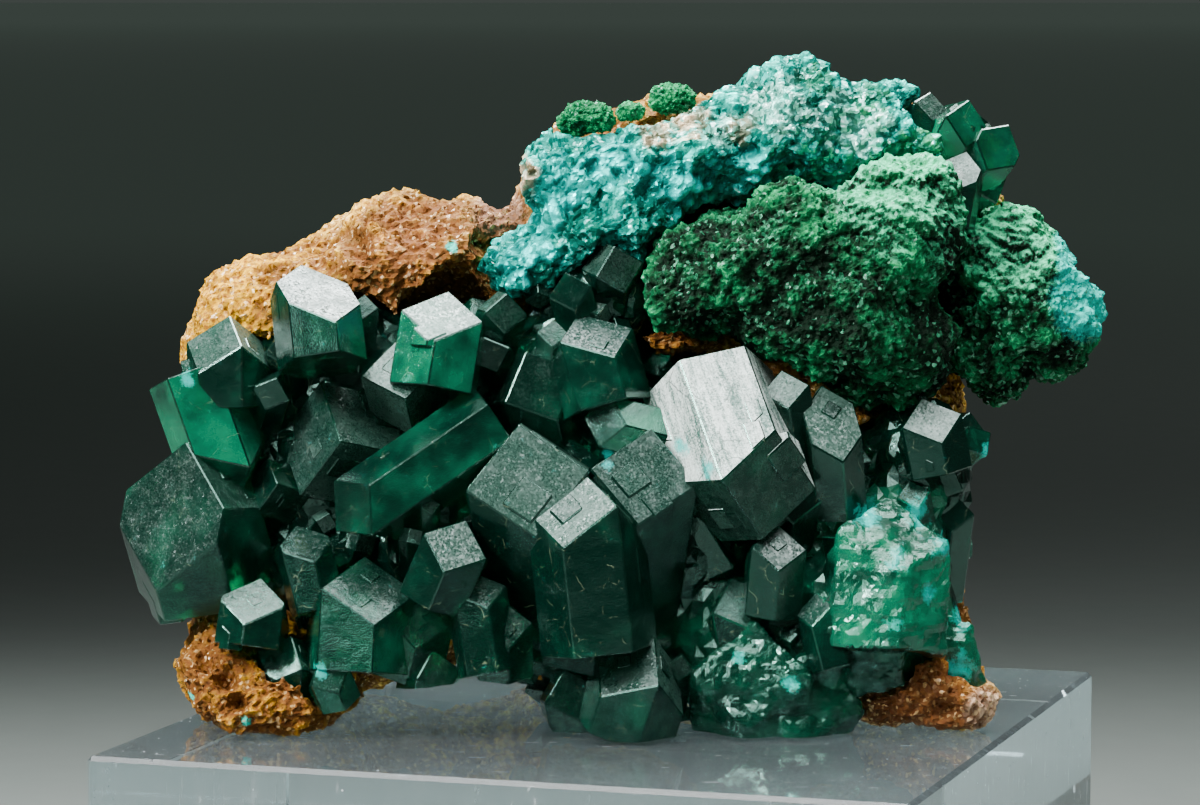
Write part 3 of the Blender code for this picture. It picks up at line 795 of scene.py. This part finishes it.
# %% The planes of all facets
def facet_planes(rows):
    """(normal, distance, (frost, tone, glow)) for every face of every crystal."""
    draw = random.Random(5)
    planes = []
    for row in rows:
        pose = pose_of(row)
        turn = pose.to_3x3()
        for normal in cap_normals():
            out = turn @ normal
            frost = row.frost * draw.uniform(0.75, 1.1)
            planes.append((out, out.dot(pose.translation), (frost, draw.random(), row.glow * 0.7)))
        for side in range(PRISM_SIDES):
            flat = side_normal(side)
            middle = Vector((0.0, -row.growth * row.half_width * MM, 0.0))
            foot = pose @ (middle + flat * row.half_width * MM * FLAT_SHARE)
            out = turn @ flat
            frost = row.side_frost if row.side_frost is not None else row.frost * draw.uniform(0.0, 0.14)
            planes.append((out, out.dot(foot), (frost, draw.random(), row.glow)))
    return planes


# %% Frost, tone and glow on each face
CRUST_MARKS = (0.15, 0.5, 0.2)
SAME_DIRECTION = 0.9995
SAME_PLANE = 0.01
ETCHED_REACH = 1.15


def face_marks(face, planes, etched):
    """Frost, tone and glow of one face. The tone 0 marks an etched crystal."""
    centre = face.calc_center_median()
    for out, distance, marks in planes:
        if out.dot(face.normal) > SAME_DIRECTION and abs(out.dot(centre) - distance) < SAME_PLANE * MM:
            return marks
    marks = CRUST_MARKS
    for row, upright in etched:
        spot = upright @ centre
        if spot.xy.length < row.half_width * ETCHED_REACH * MM and -row.length * MM < spot.z < MM:
            marks = (row.frost * (0.1 + max(0.0, face.normal.z)), 0.0, row.glow)
    return marks


def mark_facets(bm, rows, etched_rows):
    """Stores the marks of every face on its corners."""
    planes = facet_planes(rows)
    etched = [(row, pose_of(row).inverted()) for row in etched_rows]
    layer = bm.loops.layers.float_color.new("facet")
    bm.normal_update()
    for face in bm.faces:
        marks = face_marks(face, planes, etched)
        for loop in face.loops:
            loop[layer] = (*marks, 1.0)


# %% The two clusters
SMALLEST_WITH_STEPS = 2.2
SEEDLING_COUNT = 110


def cluster(name, rows, etched_rows, masses, seedling_count, finish):
    """A group of crystals with its growth steps, as one closed body."""
    draw = random.Random(11)
    rows = [Crystal(*row) for row in rows]
    etched_rows = [Crystal(*row) for row in etched_rows]
    crowd = rows + seedlings(masses, seedling_count, draw)
    for row in rows:
        if row.half_width > SMALLEST_WITH_STEPS:
            crowd += growth_steps(row, draw)
    print(name, "is joined from", len(crowd) + len(etched_rows), "crystals and steps")
    pieces = [crystal(row) for row in crowd] + [etched_crystal(row) for row in etched_rows]
    bm = joined(root_body(masses), pieces, "UNION")
    bm = joined(bm, [floor_cutter(), ellipsoid(UNDERSIDE_HOLLOW)], "DIFFERENCE")
    bmesh.ops.triangulate(bm, faces=bm.faces)
    mark_facets(bm, crowd, etched_rows)
    finished(name.replace("dioptase", "grown"), bm, finish, name)


dioptase = dioptase_finish()
cluster("dioptase_front_cluster", FRONT_CRYSTALS, ETCHED_CRYSTALS, FRONT_MASS, SEEDLING_COUNT, dioptase)
cluster("dioptase_top_right_crystals", TOP_RIGHT_CRYSTALS, (), TOP_RIGHT_MASS, 0, dioptase)

# %% [markdown]
# ## Skins for the rough minerals
#
# The rock is a crust of sugary calcite grains, the turquoise layer a carpet of tiny dioptase crystals,
# and the malachite a velvet of fibres. All three start from a copy of their solid, so they fill its
# place. Its loose triangles are merged, a voxel remesh makes the skin even, smoothing takes the coarse
# facets away, and one subdivision gives it enough points for grains. The lift of each vertex is stored
# with it, so that the materials can paint shade into the hollows.

# %% An even skin, spots and marks
def solid_copy(node):
    """A CAD solid's surface as one merged bmesh."""
    bm = bmesh.new()
    bm.from_mesh(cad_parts[node].data)
    bmesh.ops.remove_doubles(bm, verts=bm.verts, dist=0.0001 * MM)
    return bm


def even_skin(bm, voxel, smoothing):
    """An even, rounded skin over a body, fine enough to carry detail."""
    return applied(
        bm,
        ("REMESH", {"mode": "VOXEL", "voxel_size": voxel * MM}),
        ("SMOOTH", {"factor": 0.5, "iterations": smoothing}),
        ("SUBSURF", {"levels": 1, "render_levels": 1}),
    )


def near(place, x, z, radius):
    """1 at a spot of the front given in millimetres, falling to 0 at the radius."""
    reach = math.hypot(place.x / MM - x, (place.z - BLOCK_TOP) / MM - z) / radius
    return max(0.0, 1.0 - reach * reach)


def mark(bm, values):
    """Stores a colour for each vertex, which the materials read as the attribute `surface`."""
    layer = bm.verts.layers.float_color.new("surface")
    for vert, value in zip(bm.verts, values):
        vert[layer] = (*value, 1.0)


# %% [markdown]
# ## The finish of the rock
#
# Calcite itself is white. Iron has stained this rock ochre and brown, most of all on its feet and its
# left shoulder, and small grains sparkle all over it. One noise would look even, so the colour is built
# as a painter would: a mottled ground, patches of other mottled tones where the real rock has them, painted
# shade in the hollows, and last the bright sugar grains.

# %% Ochre, rust and sugar
# x, z above the block and radius (mm) of each patch
RIGHT_FOOT = ((22.0, 2.0, 7.5),)
LEFT_FOOT = ((-29.0, 3.0, 10.0),)
GOLD_SHOULDER = ((-33.5, 31.5, 7.5),)
PALE_PINK = ((28.0, 2.0, 3.0), (-9.4, 39.6, 3.6), (-6.4, 43.4, 2.8))
COPPER_STAINS = ((-13.0, 37.2, 1.1), (-28.5, 1.6, 0.9), (-33.0, 3.0, 0.8))
ROCK_GRAINS = 3.8


def calcite_finish():
    f = Finish("calcite_rock")
    height, ochre, brown = f.marked("surface")
    fine = f.noise(2.2, detail=3.0, roughness=0.7)
    patches = f.noise(0.28, detail=4.0)
    chance = f.chance(ROCK_GRAINS)

    def mottled(low, high, dark, light):
        return f.blend(f.between(fine, low, high), rgb(*dark), rgb(*light))

    cream = mottled(0.35, 0.7, (0.66, 0.32, 0.025), (1.0, 0.74, 0.20))
    yellow = mottled(0.3, 0.7, (0.48, 0.19, 0.001), (0.86, 0.48, 0.01))
    rust = mottled(0.35, 0.7, (0.22, 0.07, 0.005), (0.74, 0.34, 0.045))
    earth = mottled(0.4, 0.8, (0.16, 0.05, 0.012), (0.72, 0.45, 0.16))
    amber = mottled(0.35, 0.75, (0.24, 0.08, 0.003), (0.86, 0.44, 0.012))
    gold = mottled(0.35, 0.7, (0.30, 0.12, 0.001), (0.76, 0.41, 0.006))
    pink = f.blend(fine, rgb(0.75, 0.36, 0.18), rgb(1.0, 0.80, 0.58))
    colour = f.blend(f.between(ochre + (patches - 0.5) * 1.2, 0.25, 0.75), cream, yellow)
    colour = f.blend(f.between(brown + (patches - 0.5), 0.3, 0.8), colour, rust)
    colour = f.blend(f.between(f.spots(RIGHT_FOOT) + (fine - 0.5) * 0.9, 0.25, 0.7), colour, earth)
    colour = f.blend(f.between(f.spots(LEFT_FOOT) + (fine - 0.5) * 0.6, 0.2, 0.7), colour, amber)
    colour = f.blend(f.between(f.spots(GOLD_SHOULDER) + (patches - 0.5), 0.15, 0.5) * 0.8, colour, gold)
    colour = f.blend(f.between(f.spots(PALE_PINK) + (fine - 0.5) * 0.5, 0.2, 0.6), colour, pink)
    # painted shade: the low places of the relief are darkened
    colour = f.blend(f.between(height, -0.35, 0.2, 0.85, 0.0), colour, rgb(0.10, 0.03, 0.01))
    colour = f.blend(f.between(fine, 0.34, 0.46, 0.75, 0.0), colour, rgb(0.14, 0.045, 0.008))
    colour = f.blend(f.between(chance, 0.0, 0.6, 0.6, 0.0), colour, rgb(0.16, 0.055, 0.008))
    sugar = f.between(chance, 0.8, 0.97, 0.0, 0.3) * f.between(height, 0.0, 0.3)
    colour = f.blend(sugar, colour, rgb(1.0, 0.80, 0.46))
    copper = f.between(f.spots(COPPER_STAINS) + (fine - 0.5), 0.5, 0.8)
    colour = f.blend(copper, colour, rgb(0.0, 0.55, 0.42))
    normal = f.bump(fine, 0.8, 0.12, f.facets(ROCK_GRAINS, 1.3, upward=0.1))
    grain = f.surface(Base_Color=colour, Normal=normal, IOR=1.2, Roughness=0.7)
    flakes = f.between(chance, 0.86, 0.95, 0.0, 0.6)
    return f.done(f.sparkling(grain, flakes, rgb(0.9, 0.55, 0.22), normal))


# %% [markdown]
# ## The rock
#
# The rock carries the whole specimen: two feet below, a brown shoulder at the upper left and the back.
# Wide swellings come first, then two sizes of blocky grains, then a few pits that only the front has.
# The left shoulder swells further, where the real one stands out beside the crystals.

# %% The rock's relief and colour areas
ROCK_VOXEL = 0.78
# x, z above the block and radius (mm) of the pits, which only the front has
PITS = ((-20.5, 37.5, 1.4), (-10.3, 37.6, 1.5), (-30.2, 4.8, 1.0), (-29.2, 3.0, 0.9), (-32.0, 6.0, 0.8),
        (25.0, 2.2, 1.2))
PIT_DEPTH = 1.5
FRONT_LIMIT = 4.0


def rock_height(co):
    wide = 0.5 * cloud(co, 5.0) + 0.35 * cloud(co, 2.2, 4.0)
    wide += 1.1 * near(co, -34, 31, 8) - 0.3
    hole = 0.0
    if co.y < FRONT_LIMIT * MM:
        hole = sum(near(co, x, z, radius) for x, z, radius in PITS)
    return wide + 0.6 * grains(co, 1.3, 3.0) + 0.8 * grains(co, 0.65, 9.0) - PIT_DEPTH * min(hole, 1.0)


def rock_marks(co, lift):
    """Height, ochre and brown at one point of the rock."""
    ochre = near(co, -30, 3, 11) + near(co, -33, 31, 13) + 0.42
    middle = near(co, -16, 35, 8) + near(co, 4, 30, 6) + near(co, 19, 21, 7)
    return (lift - 0.1, min(1.0, ochre), min(1.0, middle * 0.9 + near(co, 23, 3, 9)))


rock = even_skin(solid_copy("calcite_matrix"), ROCK_VOXEL, 4)
lifts = relief(rock, rock_height)
mark(rock, [rock_marks(vert.co, lift) for vert, lift in zip(rock.verts, lifts)])
finished("sugary_rock", rock, calcite_finish(), "calcite_matrix")

# %% [markdown]
# ## The finish of the crust
#
# The crust is dioptase too, but in crystals so small that only their glitter shows. It goes from vivid
# cyan through deep glassy green to frosty and cream-coloured places, so zones are listed and their
# edges broken up by the noise and by the crystals themselves. Tiny facets that each reflect the lamp in
# another direction, with a share of metallic shine, look more like a druse than a smooth glass does.

# %% Zones of the crust
# x, z above the block and radius (mm) of each zone's parts
BRIGHT_CYAN = ((-7.4, 36.6, 5.0), (-4.5, 42.0, 4.6), (4.6, 41.8, 4.4), (0.0, 44.0, 3.4), (10.0, 43.5, 4.0))
DEEP_GREEN = ((-2.8, 38.2, 3.4), (2.4, 39.4, 3.4), (-5.6, 34.6, 2.4), (22.0, 43.0, 2.6))
MOSSY = ((24.0, 45.0, 3.6), (19.6, 48.6, 3.0), (15.6, 50.2, 2.4))
FROSTY = ((12.5, 48.0, 5.0), (18.5, 47.0, 5.0), (8.0, 46.0, 2.6))
CREAM = ((-7.8, 42.6, 2.8), (5.6, 47.0, 3.0), (2.6, 45.8, 2.2), (9.4, 46.2, 2.2))
CRUST_GRAINS = 1.3
CRUST_CHIPS = 2.6


def crust_finish():
    f = Finish("dioptase_druse")
    height = f.marked("surface")[0]
    fine = f.noise(2.0, detail=3.0, roughness=0.65)
    patches = f.noise(0.3, detail=3.0)
    ragged = f.shaken(0.6, 1.0)
    cell = f.chance(CRUST_GRAINS, ragged)
    chip = f.chance(CRUST_CHIPS, ragged)

    def zone(places):
        return f.between(f.spots(places) + (patches - 0.5) * 0.8 + (cell - 0.5) * 0.5, 0.3, 0.7)

    vivid = zone(BRIGHT_CYAN)
    frosty = zone(FROSTY)
    glassy = f.between(cell * 0.5 + fine * 0.6, 0.3, 0.85)
    colour = f.blend(glassy, rgb(0.0, 0.17, 0.125), rgb(0.005, 0.84, 0.70))
    colour = f.blend(vivid, colour, f.blend(cell, rgb(0.0, 0.56, 0.51), rgb(0.0, 0.95, 0.90)))
    colour = f.blend(frosty, colour, f.blend(cell, rgb(0.01, 0.38, 0.28), rgb(0.34, 0.92, 0.78)))
    colour = f.blend(zone(DEEP_GREEN), colour, f.blend(fine, rgb(0.0, 0.05, 0.035), rgb(0.0, 0.26, 0.17)))
    colour = f.blend(zone(MOSSY), colour, f.blend(fine, rgb(0.005, 0.10, 0.04), rgb(0.08, 0.50, 0.22)))
    colour = f.blend(zone(CREAM), colour, f.blend(fine, rgb(0.62, 0.34, 0.16), rgb(1.0, 0.86, 0.60)))
    # painted shade: the low places of the relief are darkened
    colour = f.blend(f.between(height, -0.5, 0.0, 0.8, 0.0), colour, rgb(0.0, 0.07, 0.05))
    colour = f.blend(f.between(chip + vivid * 0.2, 0.0, 0.5, 0.55, 0.0), colour, rgb(0.0, 0.09, 0.065))
    normal = f.bump(fine, 0.3, 0.06, f.facets(CRUST_GRAINS, 0.7, ragged, 0.12))
    grain = f.surface(Base_Color=colour, Normal=normal, IOR=1.2, Metallic=0.4,
                      Roughness=f.between(fine, 0.3, 0.7, 0.22, 0.45), Specular_Tint=rgb(0.4, 1.0, 0.95))
    share = f.between(chip + frosty * 0.3 - vivid * 0.3, 0.8, 0.97, 0.0, 0.8)
    tint = f.blend(frosty, rgb(0.0, 0.62, 0.52), rgb(0.3, 0.85, 0.7))
    return f.done(f.sparkling(grain, share, tint, normal, 2.2))


# %% [markdown]
# ## The crust
#
# The shape of the crust is lumpy at the scale of a few millimetres and sparkles below one. Three sizes of
# blocky grains give both; the smallest is low, because the material's facets take over from there.

# %% The crust's relief
CRUST_VOXEL = 0.45


def crust_height(co):
    blocks = 1.45 * grains(co, 2.8, 1.0) + 0.9 * grains(co, 1.1, 6.0) + 0.2 * grains(co, 0.6, 2.0)
    return 0.4 * cloud(co, 3.5) + blocks - 0.5


crust = even_skin(solid_copy("dioptase_top_crust"), CRUST_VOXEL, 4)
mark(crust, [(lift - 0.1, 0.0, 0.0) for lift in relief(crust, crust_height)])
finished("turquoise_crust", crust, crust_finish(), "dioptase_top_crust")

# %% [markdown]
# ## The finish of the malachite
#
# Malachite velvet is made of fibres too fine to model. Its colour is painted nearly black green in the
# hollows, as painted shade, and pale where the tips of the fibres and the upward faces face the light, as
# painted light. A velvet shader alone would give a smooth fabric, so the colour follows the stored height
# and the noise, tiny facets break up the gloss, and a few sparkle. The small tufts on the crest are the
# same mineral with a lighter tone.

# %% Dark hollows and pale tips
VELVET_GRAINS = 3.4


def malachite_finish(name, lightness):
    f = Finish(name)
    height, pale, blue = f.marked("surface")
    fine = f.noise(3.0, detail=3.0, roughness=0.75)
    patches = f.noise(0.32, detail=3.0)
    chance = f.chance(VELVET_GRAINS)
    # body is darker in the low places of the relief, as painted shade, and the high tips paler, as painted
    # light
    body = f.between(height + (fine - 0.5) * 0.9 + (patches - 0.5) * 0.5 + lightness, -0.2, 0.7)
    painted_lit_tips = f.between(height + (fine - 0.5) * 1.3 + lightness, 0.35, 1.1)
    # painted light: upward faces and the sunny places are paler
    painted_top_light = f.between(pale + (patches - 0.5) * 0.9 + (fine - 0.5) * 1.1, 0.3, 0.95)
    colour = f.blend(body, rgb(0.0003, 0.009, 0.003), rgb(0.003, 0.19, 0.06))
    colour = f.blend(painted_lit_tips, colour, rgb(0.03, 0.52, 0.20))
    colour = f.blend(painted_top_light, colour, rgb(0.06, 0.60, 0.29))
    colour = f.blend(f.between(blue + (fine - 0.5) * 0.8, 0.3, 0.8), colour, rgb(0.0, 0.62, 0.52))
    normal = f.bump(fine, 0.9, 0.14, f.facets(VELVET_GRAINS, 1.2))
    fibre = f.surface(Base_Color=colour, Normal=normal, IOR=1.2, Roughness=0.65)
    return f.done(f.sparkling(fibre, f.between(chance, 0.84, 0.97, 0.0, 0.7), rgb(0.05, 0.4, 0.2), normal))


# %% [markdown]
# ## The velvet lobes and tufts
#
# The fibres grew outwards in bunches, so the lobes look like a head of broccoli: balls on balls. Rounded
# Voronoi cells at two sizes give the bunches and fine grains their skin. In the paler places at the
# right the fibres lie combed in one slanting direction, which a noise stretched that way shows. The
# tufts are the same at half the size.

# %% Bunches of fibres
# x, z above the block and radius (mm) of where the fibres lie combed, where painted light makes them paler,
# and where they turn blue
COMBED = ((24, 38, 6), (22, 30, 5), (31, 38, 6))
SUNNY = ((32, 41, 12), (23, 44, 9))
BLUE_EDGE = ((37, 33, 4.5), (36, 37, 2.5))


def total_near(co, places):
    return sum(near(co, x, z, radius) for x, z, radius in places)


def velvet_height(co, size):
    """Bunches of fibres, and combed fibres, at one point of a lobe of the given size."""
    wide, _ = noise.voronoi(co / (2.3 * size * MM))
    balls, _ = noise.voronoi(co / (0.95 * size * MM) + Vector((3.0, 0.0, 0.0)))
    combed = min(1.0, total_near(co, COMBED))
    slanted = Vector((co.x * 0.6 + co.z * 0.8, co.y, (co.z * 0.6 - co.x * 0.8) * 0.16))
    comb = noise.noise(slanted / (0.4 * MM))
    bunches = 0.85 * (0.5 - wide[0]) + 0.6 * (0.45 - balls[0]) + 0.6 * grains(co, 0.5 * size, 7.0)
    return size * (0.5 * cloud(co, 4.0) + bunches * (1.0 - 0.55 * combed) + 0.34 * combed * comb)


def velvet_marks(vert, lift):
    """Height, painted light (paler on upward faces and sunny places) and blueness at one point of a lobe.
    """
    # painted light: faces that look up, and the sunny places, are marked paler
    upward = 0.3 + 0.7 * max(0.0, vert.normal.z)
    pale = upward * min(1.0, 0.3 + total_near(vert.co, SUNNY))
    return (lift, pale, min(1.0, total_near(vert.co, BLUE_EDGE)))


def velvet(name, voxel, size, finish):
    """One lobe or tuft."""
    bm = even_skin(solid_copy(name), voxel, 3)
    lifts = relief(bm, lambda co: velvet_height(co, size))
    bm.normal_update()
    mark(bm, [velvet_marks(vert, lift) for vert, lift in zip(bm.verts, lifts)])
    finished(name.replace("malachite", "velvet"), bm, finish, name)


# %% Two lobes and three tufts
malachite = malachite_finish("malachite_velvet", 0.0)
moss = malachite_finish("malachite_moss", 0.5)
for lobe in ("malachite_main_lobe", "malachite_right_lobe"):
    velvet(lobe, 0.42, 1.0, malachite)
for tuft in ("malachite_tuft_left", "malachite_tuft_middle", "malachite_tuft_right"):
    velvet(tuft, 0.16, 0.5, moss)

# %% [markdown]
# ## The finish of the block
#
# Cast acrylic is clear with a very slight cool tint along its edges. The solid of the block already has
# the right shape, so it stays and only its material changes. Its faces carry hair scratches from years of
# specimens being set down on it, and specks of dust. Scratches are a noise stretched fourteen times, and
# a thin film of plain, unclear shader shows them and the dust.

# %% Clear acrylic, scratches and dust
ACRYLIC_IOR = 1.49


def acrylic_finish():
    f = Finish("clear_acrylic")
    turn = (0.0, 0.0, math.radians(25.0))
    stretched = f.node("ShaderNodeMapping", {}, f.place, Rotation=turn, Scale=(1.0, 14.0, 1.0))
    scratches = f.noise(0.26, detail=4.0, roughness=0.6, where=stretched)
    hair = f.between(scratches, 0.66, 0.72)
    tint = f.blend(scratches, rgb(0.72, 0.84, 0.88), rgb(0.90, 0.98, 1.0))
    glass = f.surface(Base_Color=tint, IOR=ACRYLIC_IOR, Transmission_Weight=0.975,
                      Roughness=hair * 0.3 + 0.015, Normal=f.bump(hair, 0.12, 0.02))
    specks = f.between(f.cells(0.7), 0.02, 0.09, 1.0, 0.0) * f.between(f.noise(0.12), 0.45, 0.6)
    dust = f.surface(Base_Color=rgb(0.75, 0.80, 0.82), Roughness=hair * 0.2 + 0.5)
    film = (specks * 0.8 + hair * 0.22 + f.between(scratches, 0.4, 0.8, 0.0, 0.02)).clamped()
    inside = f.node("ShaderNodeVolumeAbsorption", {}, Color=rgb(0.78, 0.92, 0.95), Density=9.0)
    return f.done(f.mixed(film, glass, dust), inside)


block_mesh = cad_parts["acrylic_base"].data
block_mesh.materials.clear()
block_mesh.materials.append(acrylic_finish())

# %% [markdown]
# ## The table
#
# The table is a plain sheet that runs on far behind the block. A curved backdrop would do too, but a flat
# sheet looks right from every side. The lamps' light falls off quickly behind the object, and the sheet's
# colour is painted shade and light: dark grey near the block and pale far away. Together they give the
# soft fade of a studio picture.

# %% A pale sheet
TABLE_HALF_SIDE = 60.0
TABLE_GAP = 0.05


def floor_finish():
    f = Finish("pale_table")
    fibre = f.noise(0.2, detail=2.0)
    away = f.vectors("LENGTH", f.place, out="Value")
    # painted shade and light: the sheet is dark grey near the block and pale far away
    near_paper = f.blend(fibre, rgb(0.098, 0.114, 0.106), rgb(0.108, 0.124, 0.116))
    far_paper = f.blend(fibre, rgb(0.80, 0.89, 0.83), rgb(0.84, 0.93, 0.87))
    painted_fade = f.between(away, 0.15, 1.15, 0.0, 0.6) + f.between(away, 1.0, 14.0, 0.0, 0.4)
    return f.done(f.surface(Base_Color=f.blend(painted_fade, near_paper, far_paper), Roughness=0.8, IOR=1.2))


sheet = bmesh.new()
bmesh.ops.create_grid(sheet, x_segments=2, y_segments=2, size=TABLE_HALF_SIDE)
bmesh.ops.translate(sheet, verts=sheet.verts, vec=(0.0, 0.0, -TABLE_GAP * MM))
table_mesh = bpy.data.meshes.new("table")
sheet.to_mesh(table_mesh)
sheet.free()
table_mesh.materials.append(floor_finish())
table = bpy.data.objects.new("table", table_mesh)
bpy.context.scene.collection.objects.link(table)
table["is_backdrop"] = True

# %% [markdown]
# ## Four soft lamps
#
# Crystal faces show mostly what they reflect, so the lamps are large rectangles: one overhead and a
# little to the front, one behind that lights the crest and the clear block from the back, and a weak fill
# from the front left. A small key lamp at the left adds sharper glints. A limited spread keeps their
# light on the object, so that the background stays dark, and a weak grey-green room fills the shadows.

# %% Lamps and room
def lamp(name, place, target, width, depth, power, spread):
    """A rectangular lamp in metres, watts and degrees, which looks at its target."""
    light = bpy.data.lights.new(name, "AREA")
    light.shape = "RECTANGLE"
    light.size = width
    light.size_y = depth
    light.energy = power
    light.spread = math.radians(spread)
    holder = bpy.data.objects.new(name, light)
    bpy.context.scene.collection.objects.link(holder)
    holder.location = place
    aim = Vector(target) - Vector(place)
    holder.rotation_euler = aim.to_track_quat("-Z", "Y").to_euler()
    print(name, "gives", power, "W")


lamp("softbox", (-0.04, -0.14, 0.30), (-0.04, -0.14, 0.0), 0.50, 0.30, 1.75, 84.0)
lamp("key", (-0.29, -0.17, 0.30), (0.0, -0.01, 0.05), 0.11, 0.11, 0.24, 44.0)
lamp("back_light", (-0.03, 0.12, 0.31), (-0.03, -0.05, 0.03), 0.48, 0.18, 1.4, 58.0)
lamp("fill", (-0.38, -0.5, 0.40), (0.0, 0.0, 0.05), 0.45, 0.45, 0.28, 34.0)
room = bpy.data.worlds.new("room")
room.use_nodes = True
room.node_tree.nodes["Background"].inputs["Color"].default_value = rgb(0.055, 0.066, 0.060)
room.node_tree.nodes["Background"].inputs["Strength"].default_value = 1.0
bpy.context.scene.world = room

# %% [markdown]
# ## The camera
#
# A close portrait of a mineral is taken with a long lens from a little above, so that the crystals keep
# their proportions. The camera stands 34 centimetres in front and looks five degrees down.

# %% A long lens
SENSOR = 36.0
FOCAL_LENGTH = 129.6
LOOK_DOWN = 5.36

lens = bpy.data.cameras.new("camera")
lens.sensor_width = SENSOR
lens.lens = FOCAL_LENGTH
lens.clip_start = 0.01
camera = bpy.data.objects.new("camera", lens)
bpy.context.scene.collection.objects.link(camera)
camera.location = (-1.5 * MM, -340.0 * MM, BLOCK_TOP + 56.6 * MM)
camera.rotation_euler = (math.radians(90.0 - LOOK_DOWN), 0.0, 0.0)
bpy.context.scene.camera = camera
print("camera at", [round(value / MM, 1) for value in camera.location], "mm")

# %% [markdown]
# ## Sizes and the end
#
# Both boxes, the solids' and the dressed object's, are printed so that they can be compared.

# %% Sizes and the end
boxes = {"cad": cad_box, "visual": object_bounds()}
sizes = {name: [list(corner) for corner in box] for name, box in boxes.items()}
for name, (low, high) in sizes.items():
    print(name, "box", [round((end - start) / MM, 2) for start, end in zip(low, high)], "mm")
